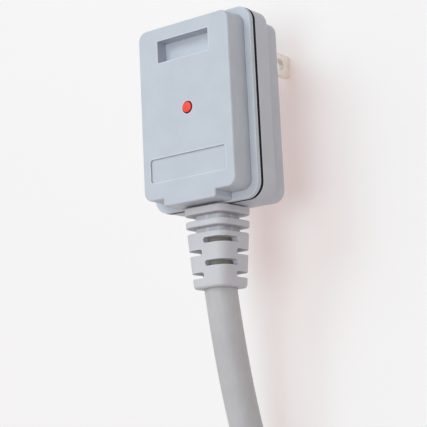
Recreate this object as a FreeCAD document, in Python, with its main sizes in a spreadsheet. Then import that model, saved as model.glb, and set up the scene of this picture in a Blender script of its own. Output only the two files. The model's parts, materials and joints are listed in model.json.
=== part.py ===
import FreeCAD, Part
import math
import os
import re

import Sketcher
from FreeCAD import Placement, Rotation, Vector

# A plug with a built-in thermal cut-out, on a two-core lead. Sizes are in millimetres.
# The origin is the middle of the mating face between the two blades. The front face with
# the reset button looks along +Z, the blades point along -Z, and the lead leaves along -Y.

SIZES = (
    # Front block, its ledge and the rim round it
    ("block_width", 29.4),
    ("block_length", 45.0),
    ("block_radius", 2.6),
    ("block_draft", 0.9),
    ("front_edge_radius", 0.45),
    ("rim_width", 33.4),
    ("rim_length", 49.4),
    ("rim_radius", 4.2),
    ("rim_edge", 1.25),
    ("case_drop", 16.0),
    ("face_level", 20.45),
    ("ledge_level", 13.8),
    ("front_wall", 2.0),
    ("wall", 1.8),
    ("inner_radius", 0.9),
    # Rear casing
    ("step_level", 6.4),
    ("rear_wall", 2.2),
    ("rear_side_step", 1.7),
    ("rear_low_step", 0.4),
    ("rear_radius", 3.2),
    ("rear_edge_radius", 0.6),
    # Seal and the skirt that lines up the two casings
    ("seal_height", 0.85),
    ("seal_inset", 0.3),
    ("seal_width", 1.2),
    ("skirt_gap", 0.3),
    ("skirt_thickness", 0.8),
    # Tab over the lead's way in
    ("tab_width", 16.7),
    ("tab_length", 1.9),
    ("tab_radius", 0.8),
    # Finger recess and the shallow bare panel
    ("recess_width", 16.5),
    ("recess_length", 5.75),
    ("recess_depth", 3.35),
    ("recess_inset", 3.7),
    ("panel_width", 24.2),
    ("panel_length", 6.1),
    ("panel_inset", 4.6),
    ("panel_depth", 0.5),
    ("panel_radius", 0.8),
    # Screws that hold the casings together
    ("screw_x", 11.4),
    ("screw_inset", 3.6),
    ("screw_shank", 2.2),
    ("screw_head", 4.0),
    ("screw_head_height", 1.5),
    ("screw_length", 12.0),
    ("screw_seat", 3.0),
    ("screw_point", 0.8),
    ("rear_boss_radius", 3.1),
    ("front_boss_radius", 2.6),
    ("boss_joint", 11.0),
    # Blades and their carrier
    ("blade_pitch", 12.7),
    ("blade_width", 6.3),
    ("blade_thickness", 1.5),
    ("blade_length", 16.7),
    ("blade_hole", 3.1),
    ("blade_hole_depth", 12.2),
    ("blade_tip_chamfer", 1.1),
    ("blade_tip_bevel", 0.35),
    ("blade_tab_length", 4.4),
    ("carrier_width", 16.0),
    ("carrier_length", 9.8),
    ("carrier_height", 3.4),
    ("barrier_thickness", 1.0),
    ("barrier_height", 3.6),
    ("terminal_screw_shank", 2.6),
    ("terminal_screw_head", 4.2),
    ("terminal_screw_head_height", 1.6),
    ("terminal_screw_length", 4.6),
    # Clearances
    ("fit_gap", 0.1),
    ("loose_gap", 0.3),
    # Reset button, its guide and its spring
    ("button_x", 0.75),
    ("button_drop", 0.3),
    ("button_diameter", 2.9),
    ("button_gap", 0.2),
    ("button_proud", 0.4),
    ("button_dome", 0.25),
    ("flange_diameter", 5.0),
    ("flange_thickness", 1.0),
    ("flange_level", 13.0),
    ("stem_diameter", 2.0),
    ("guide_radius", 3.8),
    ("guide_bore", 5.8),
    ("guide_depth", 2.6),
    ("guide_seat_drop", 0.45),
    ("spring_wire", 0.4),
    ("spring_diameter", 4.8),
    ("spring_turns", 3),
    # Snap thermostat below the button
    ("seat_height", 0.4),
    ("cap_diameter", 15.6),
    ("cap_thickness", 0.4),
    ("cap_height", 2.4),
    ("collar_wall", 0.8),
    ("collar_height", 3.0),
    ("disc_diameter", 14.0),
    ("disc_thickness", 0.3),
    ("disc_dish", 0.6),
    ("base_floor", 2.1),
    ("base_spigot", 0.8),
    ("base_wall", 1.4),
    ("base_wall_height", 4.1),
    ("base_slot", 4.4),
    ("cover_thickness", 0.8),
    ("post_diameter", 2.4),
    ("post_offset", 6.3),
    ("pin_diameter", 1.6),
    ("strip_thickness", 0.5),
    ("strip_width", 3.2),
    ("arm_width", 3.0),
    ("arm_thickness", 0.3),
    ("arm_reach", 5.2),
    ("arm_tail", 4.9),
    ("root_length", 2.2),
    ("root_gap", 0.06),
    ("contact_offset", 3.4),
    ("contact_diameter", 2.4),
    ("contact_height", 0.4),
    ("rivet_diameter", 1.0),
    ("rivet_head", 1.8),
    ("rivet_head_height", 0.3),
    ("barrel_radius", 1.9),
    ("barrel_bore", 1.3),
    ("barrel_length", 3.2),
    ("barrel_offset", 10.1),
    # Lead, its two cores and the clamp
    ("cord_diameter", 8.4),
    ("cord_level", 9.25),
    ("core_diameter", 3.2),
    ("core_offset", 1.9),
    ("saddle_length", 3.3),
    ("saddle_width", 16.4),
    ("clamp_screw_inset", 0.3),
    ("clamp_screw_shank", 1.8),
    ("clamp_screw_head", 2.6),
    ("clamp_screw_head_height", 1.3),
    ("clamp_screw_length", 6.0),
    ("clamp_strap", 1.4),
    ("clamp_foot", 1.8),
    ("clamp_boss_gap", 0.2),
    ("sheath_overhang", 0.6),
    # Strain relief moulded over the lead
    ("boot_gap", 0.2),
    ("boot_collar_width", 12.0),
    ("boot_collar_thickness", 1.4),
    ("boot_neck_width", 8.8),
    ("boot_neck_radius", 1.6),
    ("boot_first_flange", 1.9),
    ("boot_first_width", 13.6),
    ("boot_first_gap", 1.55),
    ("boot_second_flange", 1.7),
    ("boot_second_width", 13.35),
    ("boot_second_gap", 1.45),
    ("boot_corner_radius", 3.2),
    ("boot_taper_length", 13.9),
    ("boot_taper_width", 13.0),
    ("boot_end_width", 11.15),
    ("boot_edge_radius", 0.35),
    ("boot_end_radius", 0.8),
    ("boot_bore_gap", 0.05),
    ("slot_height", 1.45),
    ("slot_pitch", 2.87),
    ("slot_inset", 2.1),
    ("slot_shift", 0.65),
    # Coil of the lead on the floor
    ("coil_radius", 59.0),
    ("coil_pitch", 9.0),
    ("coil_layer", 9.0),
    ("coil_half_turns", 5),
    ("tie_thickness", 0.8),
    ("tie_width", 7.0),
    ("tie_gap", 0.2),
    ("tie_slack", 0.6),
    ("tie_radius", 3.6),
    ("tie_head_length", 5.2),
    ("tie_head_height", 3.2),
    # Ring terminals at the far end
    ("ring_radius", 3.6),
    ("ring_hole", 4.3),
)

PLACES = (
    # Casings, seen from the front
    ("case_middle", "-case_drop"),
    ("block_side", "block_width / 2"),
    ("block_low", "case_middle - block_length / 2"),
    ("block_high", "case_middle + block_length / 2"),
    ("rim_side", "rim_width / 2"),
    ("rim_low", "case_middle - rim_length / 2"),
    ("rim_high", "case_middle + rim_length / 2"),
    ("rear_side", "rim_side - rear_side_step"),
    ("rear_low", "rim_low + rear_low_step"),
    ("rear_high", "rim_high - rear_side_step"),
    # Levels from the mating face up
    ("rim_floor", "ledge_level - rim_edge"),
    ("rear_top", "rim_floor - seal_height"),
    ("front_inside", "face_level - front_wall"),
    ("shelf_level", "step_level + wall"),
    ("skirt_floor", "boss_joint + fit_gap"),
    # Hollows
    ("cavity_side", "block_side - wall"),
    ("cavity_low", "block_low + wall"),
    ("cavity_high", "block_high - wall"),
    ("upper_side", "rim_side - wall"),
    ("upper_low", "rim_low + wall"),
    ("upper_high", "rim_high - wall"),
    ("lower_side", "rear_side - wall"),
    ("lower_low", "rear_low + wall"),
    ("lower_high", "rear_high - wall"),
    # Finger recess and panel
    ("recess_high", "block_high - recess_inset"),
    ("recess_low", "recess_high - recess_length"),
    ("recess_floor", "face_level - recess_depth"),
    ("panel_low", "block_low + panel_inset"),
    # Casing screws
    ("screw_high", "block_high - screw_inset"),
    ("screw_low", "block_low + screw_inset"),
    ("screw_tip", "screw_seat + screw_length"),
    # Blades
    ("blade_x", "blade_pitch / 2"),
    ("blade_inner", "blade_x - blade_thickness / 2"),
    ("carrier_top", "rear_wall + carrier_height"),
    ("tab_top", "carrier_top + blade_thickness"),
    ("terminal_screw_x", "blade_inner - blade_tab_length / 2"),
    # Thermostat, from the rear floor up
    ("button_y", "case_middle - button_drop"),
    ("cap_floor", "rear_wall + seat_height"),
    ("cap_top", "cap_floor + cap_height"),
    ("spigot_floor", "cap_top - base_spigot"),
    ("base_top", "cap_top + base_floor"),
    ("strip_top", "base_top + strip_thickness"),
    ("wall_top", "base_top + base_wall_height"),
    ("cover_top", "wall_top + cover_thickness"),
    ("fixed_face", "strip_top + contact_height"),
    ("arm_floor", "fixed_face + fit_gap + contact_height"),
    ("arm_top", "arm_floor + arm_thickness"),
    ("disc_floor", "spigot_floor - disc_dish - disc_thickness"),
    ("pin_floor", "spigot_floor - disc_dish + fit_gap"),
    ("pin_top", "arm_floor - fit_gap"),
    ("arm_hinge", "button_y + arm_reach"),
    ("contact_y", "button_y - contact_offset"),
    ("button_top", "face_level + button_proud"),
    ("stem_tip", "arm_top + fit_gap"),
    ("flange_top", "flange_level + flange_thickness"),
    ("guide_seat", "front_inside - guide_seat_drop"),
    ("guide_mouth", "front_inside - guide_depth"),
    # Lead
    ("cord_radius", "cord_diameter / 2"),
    ("floor_level", "-blade_length"),
    ("collar_low", "lower_low + loose_gap"),
    ("collar_high", "collar_low + boot_collar_thickness"),
    ("saddle_low", "collar_high + loose_gap"),
    ("saddle_high", "saddle_low + saddle_length"),
    ("sheath_start", "saddle_high + sheath_overhang"),
    ("clamp_outer", "cord_radius + clamp_strap"),
    ("clamp_screw_x", "(saddle_width / 2 + clamp_outer) / 2 - clamp_screw_inset"),
    ("clamp_foot_top", "cord_level + fit_gap + clamp_foot"),
    # Strain relief, from the casing outwards
    ("boot_start", "rim_low - boot_gap"),
    ("first_end", "boot_start - boot_first_flange"),
    ("second_start", "first_end - boot_first_gap"),
    ("second_end", "second_start - boot_second_flange"),
    ("taper_start", "second_end - boot_second_gap"),
    ("boot_end", "taper_start - boot_taper_length"),
    # Coil, which lies on its ties
    ("lying_level", "floor_level + cord_radius"),
    ("coil_level", "lying_level + tie_thickness + tie_gap"),
    ("tie_floor", "floor_level + tie_thickness"),
    ("tie_top", "coil_level + coil_layer + cord_radius + tie_gap"),
)

document = FreeCAD.newDocument("ThermalPlug")
owner = {}
parts = []
far_routes = {}


def fill_sheet(name, rows):
    """Write named cells into a new spreadsheet: plain numbers, or formulas of earlier names."""
    sheet = document.addObject("Spreadsheet::Sheet", name)
    for number, (alias, content) in enumerate(rows, start=1):
        formula = isinstance(content, str)
        sheet.set("A%d" % number, alias)
        sheet.set("B%d" % number, "=" + spelled(content) if formula else str(content))
        sheet.setAlias("B%d" % number, alias)
    document.recompute()
    owner.update({alias: "%s.%s" % (name, alias) for alias, _ in rows})
    return sheet


def spelled(formula):
    """Return a formula with each named size written under its sheet's name."""
    return re.sub(r"[a-z][a-z_]+", lambda found: owner.get(found.group(), found.group()), formula)


sizes = fill_sheet("Sizes", SIZES)
places = fill_sheet("Places", PLACES)


def value(formula):
    """Return the number that a formula of named sizes gives."""
    return float(places.evalExpression(spelled(formula)))


def bind(item, name, formula):
    """Tie one property of an object to a formula of named sizes."""
    item.setExpression(name, spelled(formula))


def keep(item, label):
    """Give a finished piece its name and list it for writing."""
    document.recompute()
    item.Label = label
    parts.append(item)
    return item


# Sketches and features of bodies

def new_body(name):
    """Start a body."""
    return document.addObject("PartDesign::Body", name + "_body")


def sketch_on(body, name, role, level="0"):
    """Attach a sketch to one of the body's own origin planes, moved along its normal."""
    sketch = body.newObject("Sketcher::SketchObject", name)
    plane = [item for item in body.Origin.OriginFeatures if item.Role == role][0]
    sketch.AttachmentSupport = [(plane, "")]
    sketch.MapMode = "FlatFace"
    bind(sketch, "AttachmentOffset.Base.z", level)
    return sketch


def set_distance(sketch, kind, geometry, end, formula):
    """Hold a point of a sketch at a named distance from the sketch's origin."""
    number = sketch.addConstraint(Sketcher.Constraint(kind, -1, 1, geometry, end, value(formula)))
    sketch.renameConstraint(number, "place_%d" % number)
    sketch.setExpression("Constraints.place_%d" % number, spelled(formula))


def set_radius(sketch, geometry, formula):
    """Give a circle or an arc of a sketch a named radius."""
    number = sketch.addConstraint(Sketcher.Constraint("Radius", geometry, value(formula)))
    sketch.renameConstraint(number, "radius_%d" % number)
    sketch.setExpression("Constraints.radius_%d" % number, spelled(formula))


def draw_circle(sketch, across, up, radius):
    """Draw a circle."""
    centre = Vector(value(across), value(up), 0)
    number = sketch.addGeometry(Part.Circle(centre, Vector(0, 0, 1), value(radius)))
    set_distance(sketch, "DistanceX", number, 3, across)
    set_distance(sketch, "DistanceY", number, 3, up)
    set_radius(sketch, number, radius)


def draw_polygon(sketch, corners):
    """Draw a closed outline of straight lines through corners given as pairs of formulas."""
    spots = [Vector(value(across), value(up), 0) for across, up in corners]
    first = sketch.GeometryCount
    count = len(corners)
    for number in range(count):
        sketch.addGeometry(Part.LineSegment(spots[number], spots[(number + 1) % count]))
    for number, (across, up) in enumerate(corners):
        last_line = first + (number - 1) % count
        sketch.addConstraint(Sketcher.Constraint("Coincident", last_line, 2, first + number, 1))
        set_distance(sketch, "DistanceX", first + number, 1, across)
        set_distance(sketch, "DistanceY", first + number, 1, up)


def draw_box(sketch, left, right, low, high):
    """Draw a rectangle with sharp corners."""
    draw_polygon(sketch, ((left, low), (right, low), (right, high), (left, high)))


def draw_round_box(sketch, left, right, low, high, radius):
    """Draw a rectangle with rounded corners."""
    x_low, x_high, y_low, y_high = (value(side) for side in (left, right, low, high))
    bend = value(radius)
    flat = Vector(0, 0, 1)
    corners = (
        (Vector(x_high - bend, y_low + bend, 0), -0.5 * math.pi),
        (Vector(x_high - bend, y_high - bend, 0), 0.0),
        (Vector(x_low + bend, y_high - bend, 0), 0.5 * math.pi),
        (Vector(x_low + bend, y_low + bend, 0), math.pi),
    )
    first = sketch.GeometryCount
    arcs = []
    for centre, start in corners:
        circle = Part.Circle(centre, flat, bend)
        arcs.append(Part.ArcOfCircle(circle, start, start + 0.5 * math.pi))
    for number, arc in enumerate(arcs):
        sketch.addGeometry(Part.LineSegment(arcs[number - 1].EndPoint, arc.StartPoint))
        sketch.addGeometry(arc)
    for number in range(4):
        line = first + 2 * number
        sketch.addConstraint(Sketcher.Constraint("Tangent", line, 2, line + 1, 1))
        sketch.addConstraint(Sketcher.Constraint("Tangent", first + (2 * number - 1) % 8, 2, line, 1))
        way = "Horizontal" if number % 2 == 0 else "Vertical"
        sketch.addConstraint(Sketcher.Constraint(way, line))
    for number in (1, 2, 3):
        sketch.addConstraint(Sketcher.Constraint("Equal", first + 1, first + 1 + 2 * number))
    set_distance(sketch, "DistanceY", first, 1, low)
    set_distance(sketch, "DistanceX", first + 2, 1, right)
    set_distance(sketch, "DistanceY", first + 4, 1, high)
    set_distance(sketch, "DistanceX", first + 6, 1, left)
    set_radius(sketch, first + 1, radius)


def draw_square(sketch, width, level, radius):
    """Draw a rounded square round the lead's axis, seen along the lead."""
    half = "(%s) / 2" % width
    draw_round_box(sketch, "-" + half, half, level + " - " + half, level + " + " + half, radius)


def pad(body, sketch, length, draft=None):
    """Raise a sketch along its normal."""
    feature = body.newObject("PartDesign::Pad", sketch.Name + "_pad")
    feature.Profile = sketch
    bind(feature, "Length", length)
    if draft:
        bind(feature, "TaperAngle", draft)
    document.recompute()
    return feature


def pocket(body, sketch, length, may_miss=False):
    """Cut a sketch into the body along the sketch's normal, and see that it cuts."""
    before = body.Shape.Volume
    feature = body.newObject("PartDesign::Pocket", sketch.Name + "_pocket")
    feature.Profile = sketch
    feature.Reversed = True
    bind(feature, "Length", length)
    document.recompute()
    if body.Shape.Volume > before - 1e-6 and not may_miss:
        raise ValueError("%s cuts nothing" % feature.Name)
    return feature


def revolve(body, sketch, axis):
    """Turn a sketch once round its own horizontal or vertical axis."""
    feature = body.newObject("PartDesign::Revolution", sketch.Name + "_revolution")
    feature.Profile = sketch
    feature.ReferenceAxis = (sketch, [axis])
    feature.Angle = 360
    document.recompute()
    return feature


def round_edges(body, name, radius, wanted):
    """Round the edges of the body that a test picks out."""
    picked = ["Edge%d" % number for number, edge in enumerate(body.Shape.Edges, start=1)
              if wanted(edge)]
    base = body.Tip
    feature = body.newObject("PartDesign::Fillet", name)
    feature.Base = (base, picked)
    bind(feature, "Radius", radius)
    document.recompute()
    return feature


def lies_at(edge, axis, level):
    """Say whether a whole edge lies in the plane where x, y or z has one value."""
    box = edge.BoundBox
    ends = {"x": (box.XMin, box.XMax), "y": (box.YMin, box.YMax), "z": (box.ZMin, box.ZMax)}[axis]
    return all(abs(end - level) < 1e-4 for end in ends)


# Primitive solids and booleans

def block(name, left, right, low, high, bottom, top):
    """Make a plain block between named planes."""
    item = document.addObject("Part::Box", name)
    bind(item, "Length", "%s - (%s)" % (right, left))
    bind(item, "Width", "%s - (%s)" % (high, low))
    bind(item, "Height", "%s - (%s)" % (top, bottom))
    bind(item, "Placement.Base.x", left)
    bind(item, "Placement.Base.y", low)
    bind(item, "Placement.Base.z", bottom)
    return item


def rod(name, across, along, bottom, top, radius):
    """Make an upright cylinder."""
    item = document.addObject("Part::Cylinder", name)
    bind(item, "Radius", radius)
    bind(item, "Height", "%s - (%s)" % (top, bottom))
    bind(item, "Placement.Base.x", across)
    bind(item, "Placement.Base.y", along)
    bind(item, "Placement.Base.z", bottom)
    return item


def lying_rod(name, across, start, end, level, radius):
    """Make a cylinder that lies along Y, from a low place to a higher one."""
    item = document.addObject("Part::Cylinder", name)
    item.Placement = Placement(Vector(0, 0, 0), Rotation(Vector(1, 0, 0), -90))
    bind(item, "Radius", radius)
    bind(item, "Height", "%s - (%s)" % (end, start))
    bind(item, "Placement.Base.x", across)
    bind(item, "Placement.Base.y", start)
    bind(item, "Placement.Base.z", level)
    return item


def joined(name, items):
    """Fuse several solids into one."""
    fusion = document.addObject("Part::MultiFuse", name)
    fusion.Shapes = items
    fusion.Refine = True
    return fusion


def drilled(name, base, tools):
    """Cut one or more solids out of another."""
    result = base
    for number, tool in enumerate(tools, start=1):
        step = document.addObject("Part::Cut", "%s_%d" % (name, number))
        step.Base = result
        step.Tool = tool
        result = step
    return result


def grouped(name, items):
    """Keep several separate solids together as one node."""
    compound = document.addObject("Part::Compound", name)
    compound.Links = items
    return compound


# Casings

def front_casing():
    """Front shell: stepped block with its finger recess, bare panel, tab and button hole."""
    body = new_body("front_casing")
    rim = sketch_on(body, "FrontRim", "XY_Plane", "rim_floor")
    draw_round_box(rim, "-rim_side", "rim_side", "rim_low", "rim_high", "rim_radius")
    pad(body, rim, "rim_edge")
    face = sketch_on(body, "FrontBlock", "XY_Plane", "ledge_level")
    draw_round_box(face, "-block_side", "block_side", "block_low", "block_high", "block_radius")
    pad(body, face, "face_level - ledge_level", draft="-block_draft")
    tab = sketch_on(body, "FrontTab", "XY_Plane", "ledge_level")
    draw_round_box(tab, "-tab_width / 2", "tab_width / 2", "block_low - tab_length",
                   "block_low + 2 * tab_length", "tab_radius")
    pad(body, tab, "face_level - ledge_level")
    face_level = value("face_level")
    ledge_level = value("ledge_level")
    round_edges(body, "FrontEdges", "front_edge_radius", lambda edge: lies_at(edge, "z", face_level))
    round_edges(body, "LedgeEdges", "front_edge_radius / 2",
                lambda edge: lies_at(edge, "z", ledge_level) and on_rim(edge))

    hollow = sketch_on(body, "FrontHollow", "XY_Plane", "rim_floor")
    draw_round_box(hollow, "-cavity_side", "cavity_side", "cavity_low", "cavity_high", "inner_radius")
    pocket(body, hollow, "front_inside - rim_floor")

    tray = sketch_on(body, "RecessTray", "XY_Plane", "recess_floor - wall")
    draw_box(tray, "-recess_width / 2 - wall", "recess_width / 2 + wall",
             "recess_low - wall", "recess_high + wall")
    pad(body, tray, "front_inside - recess_floor + wall")
    bosses = sketch_on(body, "FrontBosses", "XY_Plane", "boss_joint + fit_gap")
    posts = sketch_on(body, "CoverPosts", "XY_Plane", "cover_top + fit_gap")
    for side in ("-", ""):
        for level in ("screw_low", "screw_high"):
            draw_circle(bosses, side + "screw_x", level, "front_boss_radius")
        draw_circle(posts, "button_x + %s1 * post_offset" % side, "button_y", "post_diameter / 2")
    pad(body, bosses, "front_inside - boss_joint - fit_gap")
    pad(body, posts, "front_inside - cover_top - fit_gap")
    guide = sketch_on(body, "ButtonGuide", "XY_Plane", "guide_mouth")
    draw_circle(guide, "button_x", "button_y", "guide_radius")
    pad(body, guide, "front_inside - guide_mouth")
    skirt = sketch_on(body, "Skirt", "XY_Plane", "skirt_floor")
    for inset in ("skirt_gap", "skirt_gap + skirt_thickness"):
        draw_round_box(skirt, "-upper_side + " + inset, "upper_side - (%s)" % inset,
                       "upper_low + " + inset, "upper_high - (%s)" % inset,
                       "rim_radius - wall - (%s)" % inset)
    pad(body, skirt, "rim_floor - skirt_floor")

    recess = sketch_on(body, "FingerRecess", "XY_Plane", "recess_floor")
    draw_box(recess, "-recess_width / 2", "recess_width / 2", "recess_low", "recess_high")
    pocket(body, recess, "recess_depth")
    panel = sketch_on(body, "BarePanel", "XY_Plane", "face_level - panel_depth")
    draw_round_box(panel, "-panel_width / 2", "panel_width / 2", "panel_low",
                   "panel_low + panel_length", "panel_radius")
    pocket(body, panel, "panel_depth")
    bore = sketch_on(body, "SpringBore", "XY_Plane", "guide_mouth")
    draw_circle(bore, "button_x", "button_y", "guide_bore / 2")
    pocket(body, bore, "guide_seat - guide_mouth")
    hole = sketch_on(body, "ButtonHole", "XY_Plane", "guide_mouth")
    draw_circle(hole, "button_x", "button_y", "button_diameter / 2 + button_gap")
    pocket(body, hole, "face_level - guide_mouth")
    pilots = sketch_on(body, "PilotHoles", "XY_Plane", "boss_joint")
    for side in ("-", ""):
        for level in ("screw_low", "screw_high"):
            draw_circle(pilots, side + "screw_x", level, "screw_shank / 2 + fit_gap / 2")
    pocket(body, pilots, "screw_tip + loose_gap - boss_joint")
    collar = sketch_on(body, "CollarPocket", "XY_Plane", "rim_floor")
    draw_box(collar, "-boot_collar_width / 2 - fit_gap", "boot_collar_width / 2 + fit_gap",
             "block_low", "cavity_low + inner_radius")
    pocket(body, collar, "cord_level + boot_collar_width / 2 + fit_gap - rim_floor")
    neck = sketch_on(body, "NeckWay", "XY_Plane", "skirt_floor")
    draw_box(neck, "-boot_neck_width / 2 - fit_gap", "boot_neck_width / 2 + fit_gap",
             "rim_low - wall", "cavity_low")
    pocket(body, neck, "cord_level + boot_neck_width / 2 + fit_gap - skirt_floor")
    way = sketch_on(body, "SkirtWay", "XY_Plane", "skirt_floor")
    draw_box(way, "-boot_collar_width / 2 - fit_gap", "boot_collar_width / 2 + fit_gap",
             "upper_low", "cavity_low")
    pocket(body, way, "rim_floor - skirt_floor")
    return keep(body, "front_casing")


def on_rim(edge):
    """Say whether an edge belongs to the rim's outline and not to the foot of the block."""
    box = edge.BoundBox
    reaches = (value("rim_side") - max(abs(box.XMin), abs(box.XMax)),
               box.YMin - value("rim_low"), value("rim_high") - box.YMax)
    return any(abs(reach) < 1e-4 for reach in reaches)


def rear_casing():
    """Rear shell: stepped box that carries the blades, the thermostat and the lead's saddle."""
    body = new_body("rear_casing")
    foot = sketch_on(body, "RearFoot", "XY_Plane")
    draw_round_box(foot, "-rear_side", "rear_side", "rear_low", "rear_high", "rear_radius")
    pad(body, foot, "step_level")
    upper = sketch_on(body, "RearUpper", "XY_Plane", "step_level")
    draw_round_box(upper, "-rim_side", "rim_side", "rim_low", "rim_high", "rim_radius")
    pad(body, upper, "rear_top - step_level")
    step_level = value("step_level")
    round_edges(body, "MatingEdges", "rear_edge_radius", lambda edge: lies_at(edge, "z", 0.0))
    round_edges(body, "StepEdges", "rear_edge_radius / 2",
                lambda edge: lies_at(edge, "z", step_level) and on_rim(edge))

    lower_hollow = sketch_on(body, "LowerHollow", "XY_Plane", "rear_wall")
    draw_round_box(lower_hollow, "-lower_side", "lower_side", "lower_low", "lower_high",
                   "rear_radius - wall")
    pocket(body, lower_hollow, "rear_top - rear_wall")
    upper_hollow = sketch_on(body, "UpperHollow", "XY_Plane", "shelf_level")
    draw_round_box(upper_hollow, "-upper_side", "upper_side", "upper_low", "upper_high",
                   "rim_radius - wall")
    pocket(body, upper_hollow, "rear_top - shelf_level")

    bosses = sketch_on(body, "RearBosses", "XY_Plane", "rear_wall / 2")
    for side in ("-", ""):
        for level in ("screw_low", "screw_high"):
            draw_circle(bosses, side + "screw_x", level, "rear_boss_radius")
    pad(body, bosses, "boss_joint - rear_wall / 2")
    seat = sketch_on(body, "CapSeat", "XY_Plane", "rear_wall / 2")
    draw_circle(seat, "button_x", "button_y", "cap_diameter / 2 - collar_wall")
    draw_circle(seat, "button_x", "button_y", "cap_diameter / 2 - 3 * collar_wall")
    pad(body, seat, "cap_floor - rear_wall / 2")
    collar = sketch_on(body, "CapCollar", "XY_Plane", "rear_wall / 2")
    draw_circle(collar, "button_x", "button_y", "cap_diameter / 2 + loose_gap + collar_wall")
    draw_circle(collar, "button_x", "button_y", "cap_diameter / 2 + loose_gap")
    pad(body, collar, "rear_wall / 2 + collar_height")
    rib = sketch_on(body, "CarrierRib", "XY_Plane", "rear_wall / 2")
    draw_box(rib, "-carrier_width / 2", "carrier_width / 2",
             "-carrier_length / 2 - loose_gap - collar_wall", "-carrier_length / 2 - loose_gap")
    pad(body, rib, "rear_wall / 2 + carrier_height / 2")
    saddle = sketch_on(body, "CordSaddle", "XY_Plane", "rear_wall / 2")
    draw_box(saddle, "-saddle_width / 2", "saddle_width / 2", "saddle_low", "saddle_high")
    pad(body, saddle, "cord_level - rear_wall / 2")

    groove = sketch_on(body, "SaddleGroove", "XZ_Plane", "-saddle_high - loose_gap")
    draw_circle(groove, "0", "cord_level", "cord_radius + boot_bore_gap")
    pocket(body, groove, "saddle_length + 2 * loose_gap")
    holes = sketch_on(body, "ClampHoles", "XY_Plane",
                      "cord_level + clamp_foot - clamp_screw_length")
    screws = sketch_on(body, "ScrewHoles", "XY_Plane")
    heads = sketch_on(body, "ScrewHeads", "XY_Plane")
    slots = sketch_on(body, "BladeSlots", "XY_Plane")
    for side in ("-", ""):
        draw_circle(holes, side + "1 * clamp_screw_x", "saddle_low + saddle_length / 2",
                    "clamp_screw_shank / 2 + fit_gap / 2")
        for level in ("screw_low", "screw_high"):
            draw_circle(screws, side + "screw_x", level, "screw_shank / 2 + fit_gap")
            draw_circle(heads, side + "screw_x", level, "screw_head / 2 + fit_gap")
        middle = side + "1 * blade_x"
        draw_box(slots, middle + " - blade_thickness / 2 - fit_gap",
                 middle + " + blade_thickness / 2 + fit_gap",
                 "-blade_width / 2 - fit_gap", "blade_width / 2 + fit_gap")
    pocket(body, holes, "clamp_screw_length")
    pocket(body, screws, "boss_joint")
    pocket(body, heads, "screw_seat")
    pocket(body, slots, "rear_wall")
    way = sketch_on(body, "EntryWay", "XZ_Plane", "-lower_low - fit_gap")
    draw_round_box(way, "-boot_neck_width / 2 - fit_gap", "boot_neck_width / 2 + fit_gap",
                   "cord_level - boot_neck_width / 2 - fit_gap",
                   "rear_top + 2 * boot_neck_radius", "boot_neck_radius")
    pocket(body, way, "2 * wall")
    return keep(body, "rear_casing")


def casing_seal():
    """Dark gasket between the two casings, open where the strain relief goes through."""
    body = new_body("casing_seal")
    ring = sketch_on(body, "SealRing", "XY_Plane", "rear_top")
    for inset in ("seal_inset", "seal_inset + seal_width"):
        draw_round_box(ring, "-rim_side + " + inset, "rim_side - (%s)" % inset,
                       "rim_low + " + inset, "rim_high - (%s)" % inset,
                       "rim_radius - (%s)" % inset)
    pad(body, ring, "seal_height")
    gap = sketch_on(body, "SealGap", "XY_Plane", "rear_top")
    draw_box(gap, "-boot_neck_width / 2 - fit_gap", "boot_neck_width / 2 + fit_gap",
             "rim_low", "upper_low + wall")
    pocket(body, gap, "seal_height")
    return keep(body, "casing_seal")


def casing_screws():
    """Four self-tapping screws, let into the mating face, that hold the casings together."""
    screws = []
    for side in ("-", ""):
        for level in ("screw_low", "screw_high"):
            across = side + "1 * screw_x"
            head = rod("screw_head", across, level, "screw_seat - screw_head_height",
                       "screw_seat", "screw_head / 2")
            shank = rod("screw_shank", across, level, "screw_seat",
                        "screw_tip - screw_point", "screw_shank / 2")
            point = document.addObject("Part::Cone", "screw_point")
            bind(point, "Radius1", "screw_shank / 2")
            bind(point, "Radius2", "screw_shank / 8")
            bind(point, "Height", "screw_point")
            bind(point, "Placement.Base.x", across)
            bind(point, "Placement.Base.y", level)
            bind(point, "Placement.Base.z", "screw_tip - screw_point")
            screws.append(joined("casing_screw", [head, shank, point]))
    return keep(grouped("casing_screw_set", screws), "casing_screws")


# Blades

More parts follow.
